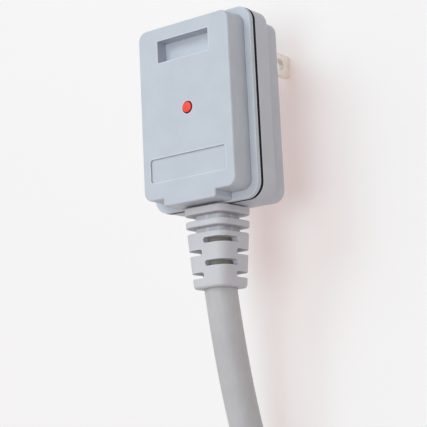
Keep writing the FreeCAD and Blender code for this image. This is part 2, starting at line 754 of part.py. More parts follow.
def blade(label, side):
    """One flat blade with its bent terminal tab, on the side that the sign gives."""
    body = new_body(label)
    plate = sketch_on(body, label + "_outline", "YZ_Plane",
                      side + "1 * blade_x - blade_thickness / 2")
    half, tip, cut = "blade_width / 2", "-blade_length", "blade_tip_chamfer"
    draw_polygon(plate, (
        ("-%s + %s" % (half, cut), tip), ("%s - %s" % (half, cut), tip),
        (half, "%s + %s" % (tip, cut)), (half, "tab_top"),
        ("-" + half, "tab_top"), ("-" + half, "%s + %s" % (tip, cut)),
    ))
    pad(body, plate, "blade_thickness")
    tip_level = value(tip)
    base = body.Tip
    bevel = body.newObject("PartDesign::Chamfer", label + "_tip")
    bevel.Base = (base, ["Edge%d" % number for number, edge in enumerate(body.Shape.Edges, 1)
                         if lies_at(edge, "z", tip_level) and edge.BoundBox.YLength > 1])
    bind(bevel, "Size", "blade_tip_bevel")
    tab = sketch_on(body, label + "_tab", "XY_Plane", "carrier_top")
    outer = side + "1 * (blade_x + blade_thickness / 2)"
    inner = side + "1 * (blade_inner - blade_tab_length)"
    draw_box(tab, inner, outer, "-" + half, half)
    pad(body, tab, "blade_thickness")
    hole = sketch_on(body, label + "_hole", "YZ_Plane", side + "1 * blade_x - blade_thickness")
    draw_circle(hole, "0", "-blade_hole_depth", "blade_hole / 2")
    pocket(body, hole, "2 * blade_thickness")
    screw_hole = sketch_on(body, label + "_screw_hole", "XY_Plane", "carrier_top")
    draw_circle(screw_hole, side + "1 * terminal_screw_x", "0", "terminal_screw_shank / 2 + fit_gap")
    pocket(body, screw_hole, "blade_thickness")
    return keep(body, label)


def blade_carrier():
    """Insulating block that holds the blades, with a barrier between the two terminals."""
    body = new_body("blade_carrier")
    base = sketch_on(body, "Carrier", "XY_Plane", "rear_wall")
    draw_round_box(base, "-carrier_width / 2", "carrier_width / 2", "-carrier_length / 2",
                   "carrier_length / 2", "inner_radius")
    pad(body, base, "carrier_height")
    barrier = sketch_on(body, "Barrier", "XY_Plane", "rear_wall")
    draw_box(barrier, "-barrier_thickness / 2", "barrier_thickness / 2",
             "-blade_width / 2", "carrier_length / 2")
    pad(body, barrier, "carrier_height + barrier_height")
    slots = sketch_on(body, "CarrierSlots", "XY_Plane", "rear_wall")
    holes = sketch_on(body, "CarrierHoles", "XY_Plane", "tab_top + strip_thickness - terminal_screw_length")
    for side in ("-", ""):
        middle = side + "1 * blade_x"
        draw_box(slots, middle + " - blade_thickness / 2 - fit_gap / 2",
                 middle + " + blade_thickness / 2 + fit_gap / 2",
                 "-blade_width / 2 - fit_gap / 2", "blade_width / 2 + fit_gap / 2")
        draw_circle(holes, side + "1 * terminal_screw_x", "0", "terminal_screw_shank / 2 + fit_gap / 2")
    pocket(body, slots, "carrier_height")
    pocket(body, holes, "terminal_screw_length")
    return keep(body, "blade_carrier")


def screw_down(name, across, along, seat, head, head_height, shank, length):
    """One pan-head screw that points down from its seat."""
    top = rod(name + "_head", across, along, seat, "%s + %s" % (seat, head_height), head + " / 2")
    stem = rod(name + "_shank", across, along, "%s - (%s)" % (seat, length), seat, shank + " / 2")
    return joined(name, [top, stem])


def blade_screws():
    """Two screws that clamp the lug and the link to the blades' tabs."""
    screws = [screw_down("blade_screw", side + "1 * terminal_screw_x", "0",
                         "tab_top + strip_thickness", "terminal_screw_head",
                         "terminal_screw_head_height", "terminal_screw_shank",
                         "terminal_screw_length - fit_gap") for side in ("-", "")]
    return keep(grouped("blade_screw_set", screws), "blade_screws")


# Thermostat

def thermostat_cap():
    """Metal cup that holds the snap disc and feels the heat of the plug."""
    body = new_body("thermostat_cap")
    cup = sketch_on(body, "Cup", "XY_Plane", "cap_floor")
    draw_circle(cup, "button_x", "button_y", "cap_diameter / 2")
    pad(body, cup, "cap_height")
    inside = sketch_on(body, "CupInside", "XY_Plane", "cap_floor + cap_thickness")
    draw_circle(inside, "button_x", "button_y", "cap_diameter / 2 - cap_thickness")
    pocket(body, inside, "cap_height - cap_thickness")
    return keep(body, "thermostat_cap")


def bimetal_disc():
    """Dished disc of even thickness, cut from two balls, that snaps when it is hot."""
    rim, dish, thickness = value("disc_diameter / 2"), value("disc_dish"), value("disc_thickness")
    ball = (rim * rim + dish * dish) / (2 * dish)
    centre = Vector(value("button_x"), value("button_y"), value("disc_floor + disc_thickness") + ball)
    shell = Part.makeSphere(ball + thickness, centre).cut(Part.makeSphere(ball, centre))
    column = Part.makeCylinder(rim, dish + thickness, Vector(centre.x, centre.y, value("disc_floor")))
    disc = document.addObject("Part::Feature", "bimetal_disc_shape")
    disc.Shape = shell.common(column)
    disc.Placement = Placement()
    return keep(disc, "bimetal_disc")


def thermostat_base():
    """Insulating base with the striker's bore and a slotted wall round the contacts."""
    body = new_body("thermostat_base")
    spigot = sketch_on(body, "Spigot", "XY_Plane", "spigot_floor")
    draw_circle(spigot, "button_x", "button_y", "cap_diameter / 2 - cap_thickness - fit_gap")
    pad(body, spigot, "base_spigot")
    floor = sketch_on(body, "BaseFloor", "XY_Plane", "cap_top")
    draw_circle(floor, "button_x", "button_y", "cap_diameter / 2")
    pad(body, floor, "base_floor")
    wall = sketch_on(body, "BaseWall", "XY_Plane", "base_top")
    draw_circle(wall, "button_x", "button_y", "cap_diameter / 2")
    draw_circle(wall, "button_x", "button_y", "cap_diameter / 2 - base_wall")
    pad(body, wall, "base_wall_height")
    slot = sketch_on(body, "BaseSlot", "XY_Plane", "base_top")
    draw_box(slot, "button_x - base_slot / 2", "button_x + base_slot / 2",
             "button_y - cap_diameter", "button_y + cap_diameter")
    pocket(body, slot, "arm_top + loose_gap + rivet_head_height - base_top")
    bore = sketch_on(body, "StrikerBore", "XY_Plane", "spigot_floor")
    draw_circle(bore, "button_x", "button_y", "pin_diameter / 2 + fit_gap")
    pocket(body, bore, "base_spigot + base_floor")
    return keep(body, "thermostat_base")


def thermostat_cover():
    """Insulating lid of the thermostat, which also guides the foot of the button."""
    lid = rod("cover_plate", "button_x", "button_y", "wall_top", "cover_top", "cap_diameter / 2")
    hole = rod("cover_hole", "button_x", "button_y", "wall_top", "cover_top",
               "stem_diameter / 2 + fit_gap")
    return keep(drilled("cover", lid, [hole]), "thermostat_cover")


def striker_pin():
    """Pin that the disc pushes against the contact arm."""
    body = new_body("striker_pin")
    outline = sketch_on(body, "Striker", "XY_Plane", "pin_floor")
    draw_circle(outline, "button_x", "button_y", "pin_diameter / 2")
    pad(body, outline, "pin_top - pin_floor")
    ends = (value("pin_floor"), value("pin_top"))
    round_edges(body, "StrikerEnds", "pin_diameter * 0.4",
                lambda edge: any(lies_at(edge, "z", end) for end in ends))
    return keep(body, "striker_pin")


def contact_arm():
    """Springy strip that carries the moving contact, cut free where it bends."""
    body = new_body("contact_arm")
    strip = sketch_on(body, "Arm", "XY_Plane", "arm_floor")
    root, tip = "arm_hinge", "button_y - arm_tail"
    draw_polygon(strip, (
        ("button_x - arm_width / 2", root), ("button_x - arm_width * 0.4", "button_y"),
        ("button_x - arm_width * 0.4", tip), ("button_x + arm_width * 0.4", tip),
        ("button_x + arm_width * 0.4", "button_y"), ("button_x + arm_width / 2", root),
    ))
    pad(body, strip, "arm_thickness")
    hole = sketch_on(body, "ArmHole", "XY_Plane", "arm_floor")
    draw_circle(hole, "button_x", "contact_y", "rivet_diameter / 2")
    pocket(body, hole, "arm_thickness")
    return keep(body, "contact_arm")


def moving_contact():
    """Contact button riveted into the arm."""
    face = rod("moving_face", "button_x", "contact_y", "arm_floor - contact_height", "arm_floor",
               "contact_diameter / 2")
    shank = rod("moving_shank", "button_x", "contact_y", "arm_floor", "arm_top", "rivet_diameter / 2")
    head = rod("moving_head", "button_x", "contact_y", "arm_top",
               "arm_top + rivet_head_height / 2", "rivet_head / 2")
    return keep(joined("moving_rivet", [face, shank, head]), "moving_contact")


def fixed_contact():
    """Contact button on the fixed terminal."""
    face = rod("fixed_face", "button_x", "contact_y", "strip_top", "fixed_face",
               "contact_diameter / 2 + fit_gap")
    return keep(face, "fixed_contact")


def fixed_terminal():
    """Strip under the fixed contact, with a crimp barrel for the live core."""
    start = "button_y - barrel_offset"
    strip = block("terminal_strip", "button_x - strip_width / 2", "button_x + strip_width / 2",
                  start, "contact_y + contact_diameter", "base_top", "strip_top")
    neck = block("terminal_neck", "button_x", "core_offset + barrel_bore", start,
                 start + " + strip_thickness * 2", "base_top", "cord_level - barrel_bore")
    barrel = lying_rod("terminal_barrel", "core_offset", start + " - barrel_length",
                       start + " + strip_thickness", "cord_level", "barrel_radius")
    bore = lying_rod("terminal_bore", "core_offset", start + " - 2 * barrel_length",
                     start + " + barrel_length", "cord_level", "barrel_bore")
    return keep(drilled("terminal", joined("terminal_blank", [strip, neck, barrel]), [bore]),
                "fixed_terminal")


def arm_terminal():
    """Stamped link from the contact arm's root to the screw of the right blade."""
    body = new_body("arm_terminal")
    link = sketch_on(body, "Link", "XY_Plane", "tab_top")
    left, right = "button_x - strip_width / 2", "button_x + strip_width / 2"
    root = "arm_hinge + root_gap"
    bend = "-blade_width / 2 - strip_width / 2"
    draw_polygon(link, (
        (left, root), (right, root), (right, bend + " - strip_width / 4"),
        ("terminal_screw_x + strip_width / 2", bend + " + strip_width / 4"),
        ("terminal_screw_x + strip_width / 2", "0"), ("terminal_screw_x - strip_width / 2", "0"),
        ("terminal_screw_x - strip_width / 2", bend + " + strip_width * 0.6"), (left, bend),
    ))
    pad(body, link, "strip_thickness")
    ring = sketch_on(body, "LinkRing", "XY_Plane", "tab_top")
    draw_circle(ring, "terminal_screw_x", "0", "blade_tab_length / 2")
    pad(body, ring, "strip_thickness")
    riser = sketch_on(body, "ArmRoot", "XY_Plane", "tab_top")
    draw_box(riser, "button_x - arm_width / 2", "button_x + arm_width / 2", root,
             root + " + root_length")
    pad(body, riser, "arm_top - tab_top")
    hole = sketch_on(body, "LinkHole", "XY_Plane", "tab_top")
    draw_circle(hole, "terminal_screw_x", "0", "terminal_screw_shank / 2 + fit_gap")
    pocket(body, hole, "strip_thickness")
    rivet_hole = sketch_on(body, "RootHole", "XY_Plane", "tab_top")
    draw_circle(rivet_hole, "button_x", root + " + root_length / 2", "rivet_diameter / 2")
    pocket(body, rivet_hole, "arm_top - tab_top")
    return keep(body, "arm_terminal")


def arm_rivet():
    """Rivet through the root of the arm."""
    along = "arm_hinge + root_gap + root_length / 2"
    shank = rod("root_shank", "button_x", along, "tab_top", "arm_top", "rivet_diameter / 2")
    head = rod("root_head", "button_x", along, "arm_top", "arm_top + rivet_head_height",
               "rivet_head / 2")
    return keep(joined("root_rivet", [shank, head]), "arm_rivet")


# Reset button

def reset_button():
    """Red button: a turned profile with its head, spring flange and slender foot."""
    body = new_body("reset_button")
    profile = sketch_on(body, "ButtonProfile", "XZ_Plane")
    foot = "stem_diameter / 2"
    draw_polygon(profile, (
        ("0", "stem_tip"), (foot + " * 0.4", "stem_tip"), (foot, "stem_tip + %s * 0.6" % foot),
        (foot, "flange_level"), ("flange_diameter / 2", "flange_level"),
        ("flange_diameter / 2", "flange_top"), ("button_diameter / 2", "flange_top"),
        ("button_diameter / 2", "button_top"), ("0", "button_top"),
    ))
    revolve(body, profile, "V_Axis")
    top = value("button_top")
    round_edges(body, "ButtonDome", "button_dome", lambda edge: lies_at(edge, "z", top))
    bind(body, "Placement.Base.x", "button_x")
    bind(body, "Placement.Base.y", "button_y")
    return keep(body, "reset_button")


def button_spring():
    """Light coil spring between the button's flange and the casing, one unbroken wire."""
    turns = int(value("spring_turns"))
    wire = value("spring_wire / 2")
    radius = value("spring_diameter / 2") - wire
    low, high = value("flange_top") + wire, value("guide_seat") - wire
    axis = Vector(value("button_x"), value("button_y"), 0)

    def place(half_turns):
        angle = math.pi * half_turns
        share = half_turns / (2.0 * turns)
        spot = axis + Vector(radius * math.cos(angle), radius * math.sin(angle),
                             low + (high - low) * share)
        rise = (high - low) / (2.0 * math.pi * turns)
        way = Vector(-radius * math.sin(angle), radius * math.cos(angle), rise)
        return spot, way.normalize()

    stations = [place(number) for number in range(2 * turns + 1)]
    edges = []
    for start, end in zip(stations, stations[1:]):
        edges += biarc(*start, *end)
    spring = document.addObject("Part::Feature", "button_spring_shape")
    spring.Shape = tube(edges, stations[0][1], wire)
    spring.Placement = Placement()
    return keep(spring, "button_spring")


# Strain relief

def strain_relief():
    """Moulded strain relief: collar, two flanges and a slotted taper round the lead."""
    body = new_body("strain_relief")
    lengths = (
        ("Collar", "collar_high", "collar_low", "boot_collar_width", "inner_radius"),
        ("Neck", "collar_low", "boot_start", "boot_neck_width", "boot_neck_radius"),
        ("FirstFlange", "boot_start", "first_end", "boot_first_width", "boot_corner_radius"),
        ("FirstNeck", "first_end", "second_start", "boot_neck_width", "boot_neck_radius"),
        ("SecondFlange", "second_start", "second_end", "boot_second_width", "boot_corner_radius"),
        ("SecondNeck", "second_end", "taper_start", "boot_neck_width", "boot_neck_radius"),
    )
    for name, start, end, width, radius in lengths:
        outline = sketch_on(body, name, "XZ_Plane", "-%s" % start)
        draw_square(outline, width, "cord_level", radius)
        pad(body, outline, "%s - (%s)" % (start, end))
    wide = sketch_on(body, "TaperStart", "XZ_Plane", "-taper_start")
    draw_square(wide, "boot_taper_width", "cord_level", "boot_corner_radius")
    narrow = sketch_on(body, "TaperEnd", "XZ_Plane", "-boot_end")
    draw_square(narrow, "boot_end_width", "cord_level", "boot_corner_radius * 0.9")
    taper = body.newObject("PartDesign::AdditiveLoft", "Taper")
    taper.Profile = wide
    taper.Sections = [narrow]
    document.recompute()
    rims = [value(name) for name in ("boot_start", "first_end", "second_start", "second_end",
                                     "taper_start")]
    reach = value("boot_neck_width / 2") + value("boot_edge_radius")
    level = value("cord_level")

    def outside(edge):
        box = edge.BoundBox
        return max(abs(box.XMin), abs(box.XMax), box.ZMax - level, level - box.ZMin) > reach

    round_edges(body, "FlangeEdges", "boot_edge_radius",
                lambda edge: any(lies_at(edge, "y", rim) for rim in rims) and outside(edge))
    end = value("boot_end")
    round_edges(body, "EndEdges", "boot_end_radius", lambda edge: lies_at(edge, "y", end))
    bore = sketch_on(body, "BootBore", "XZ_Plane", "-collar_high")
    draw_circle(bore, "0", "cord_level", "cord_radius + boot_bore_gap")
    pocket(body, bore, "collar_high - boot_end")
    for number in range(4):
        middle = "taper_start - slot_inset - %d * slot_pitch" % number
        for side in (1, -1):
            corner_slot(body, number, middle, side)
    return keep(body, "strain_relief")


def corner_slot(body, number, middle, side):
    """Cut one corner of the taper through to the lead: alternate corners on each level."""
    across = side if number % 2 == 0 else -side
    shift = "0" if number % 2 == 0 else "slot_shift"
    low, high = middle + " - slot_height / 2", middle + " + slot_height / 2"
    bend = "slot_height * 0.46"
    name = "Slot_%d_%s" % (number, "front" if side > 0 else "rear")
    start = "%s + %d * (%s)" % ("cord_level", side, bend)
    face = sketch_on(body, name + "_face", "XY_Plane",
                     start if side > 0 else start + " - boot_taper_width")
    inner, outer = "%d * (%s)" % (across, shift), "%d * boot_taper_width" % across
    left, right = (inner, outer) if across > 0 else (outer, inner)
    draw_round_box(face, left, right, low, high, bend)
    pocket(body, face, "boot_taper_width")
    flank = sketch_on(body, name + "_flank", "YZ_Plane",
                      "%s + %s" % (inner, bend) if across > 0 else
                      "%s - %s - boot_taper_width" % (inner, bend))
    inner_level = "cord_level - %d * (%s)" % (side, shift)
    outer_level = "cord_level + %d * boot_taper_width" % side
    bottom, top = (inner_level, outer_level) if side > 0 else (outer_level, inner_level)
    draw_round_box(flank, low, high, bottom, top, bend)
    pocket(body, flank, "boot_taper_width")


# Lead

def cord_clamp():
    """Saddle strap that holds the lead's sheath down."""
    body = new_body("cord_clamp")
    outline = sketch_on(body, "ClampFeet", "XZ_Plane", "-saddle_high")
    draw_box(outline, "-saddle_width / 2", "saddle_width / 2", "cord_level + fit_gap",
             "clamp_foot_top")
    pad(body, outline, "saddle_length")
    arch = sketch_on(body, "ClampArch", "XZ_Plane", "-saddle_high")
    draw_circle(arch, "0", "cord_level", "clamp_outer")
    pad(body, arch, "saddle_length")
    below = sketch_on(body, "ClampBelow", "XZ_Plane", "-saddle_high")
    draw_box(below, "-saddle_width / 2", "saddle_width / 2", "cord_level - saddle_width",
             "cord_level + fit_gap")
    pocket(body, below, "saddle_length")
    groove = sketch_on(body, "ClampGroove", "XZ_Plane", "-saddle_high")
    draw_circle(groove, "0", "cord_level", "cord_radius + boot_bore_gap")
    pocket(body, groove, "saddle_length")
    holes = sketch_on(body, "ClampScrewHoles", "XY_Plane", "cord_level")
    faces = sketch_on(body, "ClampHeadFaces", "XY_Plane", "clamp_foot_top")
    hollows = sketch_on(body, "ClampBossHollows", "XY_Plane", "cord_level")
    for side in ("-", ""):
        across, along = side + "1 * clamp_screw_x", "saddle_low + saddle_length / 2"
        draw_circle(holes, across, along, "clamp_screw_shank / 2 + fit_gap")
        draw_circle(faces, across, along, "clamp_screw_head / 2 + fit_gap")
        draw_circle(hollows, side + "screw_x", "screw_low", "rear_boss_radius + clamp_boss_gap")
    pocket(body, holes, "clamp_foot + 2 * fit_gap")
    pocket(body, faces, "clamp_outer", may_miss=True)
    pocket(body, hollows, "clamp_outer", may_miss=True)
    return keep(body, "cord_clamp")


def clamp_screws():
    """Two screws of the lead's clamp."""
    screws = [screw_down("clamp_screw", side + "1 * clamp_screw_x", "saddle_low + saddle_length / 2",
                         "clamp_foot_top", "clamp_screw_head",
                         "clamp_screw_head_height", "clamp_screw_shank",
                         "clamp_screw_length - fit_gap") for side in ("-", "")]
    return keep(grouped("clamp_screw_set", screws), "clamp_screws")


def sheath_entry():
    """Straight stretch of sheath in the strain relief and the clamp."""
    return keep(lying_rod("sheath_rod", "0", "boot_end", "sheath_start", "cord_level", "cord_radius"),
                "sheath_entry")


def black_core():
    """Live core, straight from the sheath to the crimp barrel, with its bared strands."""
    barrel_end = "button_y - barrel_offset - barrel_length"
    return keep(lying_rod("black_core_rod", "core_offset", "sheath_start",
                          barrel_end + " - fit_gap", "cord_level", "core_diameter / 2"),
                "black_core")


def black_strands():
    """Bared copper of the live core in the crimp barrel."""
    barrel_end = "button_y - barrel_offset - barrel_length"
    return keep(lying_rod("black_strand_rod", "core_offset", barrel_end + " - fit_gap",
                          "button_y - barrel_offset + strip_thickness", "cord_level",
                          "barrel_bore - fit_gap / 2"), "black_strands")


def lug_turn():
    """Return the way from the blade's screw to the lug's barrel, and the screw's place."""
    centre = Vector(-value("terminal_screw_x"), 0, 0)
    way = Vector(-1, -1, 0).normalize()
    return centre, way


def white_lug():
    """Ring lug under the left blade's screw, with its crimp barrel turned to the side."""
    body = new_body("white_lug")
    ring = sketch_on(body, "LugRing", "XY_Plane")
    draw_circle(ring, "0", "0", "blade_tab_length / 2")
    pad(body, ring, "strip_thickness")
    neck = sketch_on(body, "LugNeck", "XY_Plane")
    draw_box(neck, "-barrel_bore", "barrel_bore", "-blade_tab_length / 2 - strip_thickness * 3", "0")
    pad(body, neck, "strip_thickness")
    barrel = sketch_on(body, "LugBarrel", "XZ_Plane", "blade_tab_length / 2 + strip_thickness * 2")
    draw_circle(barrel, "0", "barrel_radius + strip_thickness / 2", "barrel_radius")
    pad(body, barrel, "barrel_length")
    bore = sketch_on(body, "LugBore", "XZ_Plane", "blade_tab_length / 2 + strip_thickness * 2")
    draw_circle(bore, "0", "barrel_radius + strip_thickness / 2", "barrel_bore")
    pocket(body, bore, "barrel_length")
    hole = sketch_on(body, "LugHole", "XY_Plane")
    draw_circle(hole, "0", "0", "terminal_screw_shank / 2 + fit_gap")
    pocket(body, hole, "strip_thickness")
    body.Placement = Placement(Vector(0, 0, 0), Rotation(Vector(0, 0, 1), -45))
    bind(body, "Placement.Base.x", "-terminal_screw_x")
    bind(body, "Placement.Base.z", "tab_top")
    return keep(body, "white_lug")


def white_core():
    """Neutral core, from the sheath round the thermostat to the lug."""
    level = value("cord_level")
    centre, way = lug_turn()
    lug_end = value("blade_tab_length / 2 + strip_thickness * 2 + barrel_length + fit_gap")
    lug_level = value("tab_top + barrel_radius + strip_thickness / 2")
    goal = centre + way * lug_end
    start = value("sheath_start")
    route = [
        Vector(-value("core_offset"), start, level),
        Vector(-value("core_offset"), start + 3.0, level),
        Vector(-6.6, start + 6.2, level),
        Vector(-10.6, start + 12.1, level),
        Vector(-11.0, start + 19.6, level),
        Vector(goal.x - 1.8, goal.y - 1.8, lug_level),
        Vector(goal.x, goal.y, lug_level),
    ]
    return keep(cord_tube("white_core", route, value("core_diameter / 2")), "white_core")


def bend_at(before, corner, after):
    """Return the tangent arc that rounds one corner of a route, and its radius."""
    inward, outward = corner - before, after - corner
    shorter = min(inward.Length, outward.Length)
    turn = inward.getAngle(outward)
    radius = 0.45 * shorter / math.tan(turn / 2)
    inward.normalize()
    outward.normalize()
    start = corner - inward * (0.45 * shorter)
    end = corner + outward * (0.45 * shorter)
    middle = (start + end) * 0.5
    towards = corner - middle
    sagitta = radius * (1 - math.cos(turn / 2))
    top = middle + towards.normalize() * sagitta
    return Part.Arc(start, top, end), start, end, radius


def tube(edges, way, radius):
    """Sweep a round section along joined edges."""
    wire = Part.Wire(edges)
    start = edges[0].Vertexes[0].Point
    section = Part.Wire([Part.Circle(start, way, radius).toShape()])
    return wire.makePipeShell([section], True, False)


def cord_tube(name, route, radius):
    """Lay a round tube along straight runs joined by tangent arcs, and print its radii."""
    edges = []
    radii = []
    last = route[0]
    for before, corner, after in zip(route, route[1:], route[2:]):
        arc, start, end, bend = bend_at(before, corner, after)
        edges += [Part.LineSegment(last, start).toShape(), arc.toShape()]
        radii.append(round(bend, 1))
        last = end
    edges.append(Part.LineSegment(last, route[-1]).toShape())
    item = document.addObject("Part::Feature", name + "_shape")
    item.Shape = tube(edges, route[1] - route[0], radius)
    item.Placement = Placement()
    length = sum(edge.Length for edge in edges)
    share = item.Shape.Volume / (math.pi * radius * radius * length)
    print("%s: length %.1f, radii %s, volume over section times length %.4f"
          % (name, length, radii, share))
    return item


def cord_route():
    """Route of the lead from the strain relief down to the floor and on to its coil."""
    level, coiled = value("cord_level"), value("coil_level")
    return [
        Vector(0, value("boot_end"), level),
        Vector(0, -72.5, 7.55),
        Vector(0, -93.5, 2.55),
        Vector(0, -113.5, -4.9),
        Vector(0, -131.0, -10.2),
        Vector(0.9, -147.5, coiled),
        Vector(0.9, -161.6, coiled),
    ]


def cord_run():
    """Free stretch of the lead that hangs from the strain relief, cut square where it starts."""
    route = cord_route()
    radius = value("cord_radius")
    inside = route[0] + (route[0] - route[1]).normalize() * radius
    run = cord_tube("cord_run", [inside] + route[1:], radius)
    wide = 4 * radius
    beyond = Part.makeBox(wide, wide, wide, route[0] - Vector(wide / 2, 0, wide / 2))
    run.Shape = run.Shape.cut(beyond)
    return keep(run, "cord_run")


def biarc(start, start_way, end, end_way):
    """Join two places with given directions by two tangent arcs."""
    across = start - end
    ways = start_way + end_way
    a = 2 * (start_way.dot(end_way) - 1)
    b = 2 * across.dot(ways)
    c = across.dot(across)
    if abs(a) < 1e-9:
        reach = -c / b
    else:
        reach = (-b - math.sqrt(b * b - 4 * a * c)) / (2 * a)
        if reach < 0:
            reach = (-b + math.sqrt(b * b - 4 * a * c)) / (2 * a)
    first = start + start_way * reach
    second = end - end_way * reach
    joint = (first + second) * 0.5
    return [round_corner(start, first, joint), round_corner(joint, second, end)]


def round_corner(start, corner, end):
    """Return the arc from start to end that is tangent to both sides of a corner."""
    half = (corner - start).getAngle(end - corner) / 2
    radius = (corner - start).Length / math.tan(half)
    middle = (start + end) * 0.5
    towards = corner - middle
    return Part.Arc(start, middle + towards.normalize() * (radius * (1 - math.cos(half))),
                    end).toShape()


def coil_stations():
    """Places and directions along the coil: in on the floor, up one layer and out again."""
    begin = cord_route()[-1]
    straight = value("cord_diameter")
    radius, pitch, layer = value("coil_radius"), value("coil_pitch"), value("coil_layer")
    turns = int(value("coil_half_turns"))
    centre = Vector(begin.x + radius, begin.y - straight, begin.z)
    climb = turns + 0.5
    counts = list(range(turns + 1)) + [climb] + list(range(turns + 1, 2 * turns + 2))
    stations = []
    for count in counts:
        steps = climb - abs(climb - count)
        reach = radius - steps * pitch / 2
        angle = math.pi * (1 + count)
        share = min(max(count - turns, 0.0), 1.0)
        rise = 2 * layer / (math.pi * reach) if count == climb else 0.0
        outward = Vector(math.cos(angle), math.sin(angle), 0)
        way = Vector(-outward.y, outward.x, rise)
        stations.append((centre + outward * reach + Vector(0, 0, layer * share), way.normalize()))
    return stations


def cord_coil():
    """Rest of the lead, coiled in two layers on the floor as one unbroken tube."""
    stations = coil_stations()
    straight = value("cord_diameter")
    start, start_way = stations[0]
    end, end_way = stations[-1]
    edges = [Part.LineSegment(start - start_way * straight, start).toShape()]
    for one, following in zip(stations, stations[1:]):
        edges += biarc(*one, *following)
    edges.append(Part.LineSegment(end, end + end_way * straight).toShape())
    item = document.addObject("Part::Feature", "cord_coil_shape")
    item.Shape = tube(edges, start_way, value("cord_radius"))
    item.Placement = Placement()
    length = sum(edge.Length for edge in edges)
    print("cord_coil: length %.1f, least gap to itself %.2f" % (length, least_gap(edges)))
    return keep(item, "cord_coil")


def coil_ties():
    """Two straps round the stacked turns, at the lower and the upper side of the coil."""
    start = coil_stations()[0][0]
    across = start.x + value("coil_radius")
    items = []
    for side, first in ((-1, 0.25), (1, 0.75)):
        outer = start.y + side * (value("coil_radius - %s * coil_pitch" % first)
                                  + value("cord_radius + tie_slack"))
        inner = start.y + side * (value("coil_radius - (%s + 2) * coil_pitch" % first)
                                  - value("cord_radius + tie_slack"))
        items.append(tie_strap(across, *sorted((outer, inner)), outer))
    item = document.addObject("Part::Feature", "coil_tie_shapes")
    item.Shape = Part.makeCompound(items)
    item.Placement = Placement()
    return keep(item, "coil_ties")


def tie_strap(across, low, high, outer):
    """One rounded strap with its locking head on the outer side, made along X."""
    wall, width = value("tie_thickness"), value("tie_width")
    bottom, top, bend = value("tie_floor"), value("tie_top"), value("tie_radius")
    left = across - width / 2
    solids = []
    for grow in (wall, 0.0):
        slab = Part.makeBox(width, high - low + 2 * grow, top - bottom + 2 * grow,
                            Vector(left, low - grow, bottom - grow))
        corners = [edge for edge in slab.Edges
                   if edge.BoundBox.XLength > width / 2 and edge.BoundBox.YLength < 1e-3]
        solids.append(slab.makeFillet(bend + grow, corners))
    strap = solids[0].cut(solids[1])
    reach = value("tie_head_height")
    length = value("tie_head_length")
    begin = outer if outer > (low + high) / 2 else outer - reach
    sunk = wall / 2 if begin == outer else -wall / 2
    head = Part.makeBox(width - 2 * wall, reach, length,
                        Vector(left + wall, begin + sunk, (bottom + top - length) / 2))
    return strap.fuse(head).removeSplitter()


def least_gap(edges):
    """Measure the smallest gap between turns on points along the coil's middle line."""
    diameter = value("cord_diameter")
    spacing = diameter / 4
    points = []
    walked = 0.0
    for edge in edges:
        count = max(2, int(edge.Length / spacing))
        step = edge.Length / count
        first = edge.FirstParameter
        last = edge.LastParameter
        for number in range(count):
            points.append((walked + number * step,
                           edge.valueAt(first + (last - first) * number / count)))
        walked += edge.Length
    least = math.inf
    for index, (along, spot) in enumerate(points):
        for other_along, other in points[index + 1:]:
            if other_along - along > 4 * diameter:
                least = min(least, (spot - other).Length)
    return least - diameter


def tail_route():
    """Route of the lead's free end, from the top of the coil down to the floor."""
    end, way = coil_stations()[-1]
    begin = end + way * value("cord_diameter")
    lying = value("lying_level")
    return [
        begin,
        begin + Vector(0, 10.0, 0),
        begin + Vector(0.8, 21.5, -2.2),
        begin + Vector(3.2, 33.4, -7.3),
        Vector(begin.x + 8.1, begin.y + 45.0, lying),
        Vector(begin.x + 12.1, begin.y + 54.6, lying),
    ]


def cord_tail():
    """Free end of the lead beyond the coil."""
    return keep(cord_tube("cord_tail", tail_route(), value("cord_radius")), "cord_tail")


def far_core(name, side):
    """One core at the far end, spread from its neighbour and drooping to the floor."""
    before, end = tail_route()[-2:]
    way = (end - before).normalize()
    aside = Vector(way.y, -way.x, 0) * side
    start = end + aside * value("core_offset")
    drop = Vector(0, 0, -1)
    route = [
        start,
        start + way * 7,
        start + way * 15 + aside * 2.2 + drop * 2.1,
        start + way * 23 + aside * 3.2 + drop * 2.1,
    ]
    far_routes[name] = route
    return keep(cord_tube(name, route, value("core_diameter / 2")), name)


def far_terminals():
    """Crimped ring terminals on the two cores at the far end."""
    items = []
    for name in ("far_black_core", "far_white_core"):
        before, end = far_routes[name][-2:]
        way = (end - before).normalize()
        flat_way = Vector(way.x, way.y, 0).normalize()
        aside = Vector(flat_way.y, -flat_way.x, 0)
        up = Vector(0, 0, 1)
        barrel = Part.makeCylinder(value("barrel_radius"), value("2 * barrel_length"), end, flat_way)
        thickness = value("strip_thickness * 1.6")
        ring_reach = value("2 * barrel_length + ring_radius")
        centre = end + flat_way * ring_reach - up * (thickness / 2)
        ring = Part.makeCylinder(value("ring_radius"), thickness, centre, up)
        neck = Part.makeBox(value("2 * barrel_bore"), value("ring_radius + barrel_bore"), thickness)
        neck.Placement = Placement(end + flat_way * value("2 * barrel_length - barrel_bore")
                                   + aside * value("barrel_bore") - up * (thickness / 2),
                                   Rotation(aside * -1, flat_way, up, "XYZ"))
        hole = Part.makeCylinder(value("ring_hole / 2"), thickness, centre, up)
        items.append(barrel.fuse([ring, neck]).cut(hole))
    item = document.addObject("Part::Feature", "far_terminal_shapes")
    item.Shape = Part.makeCompound(items)
    item.Placement = Placement()
    return keep(item, "far_terminals")


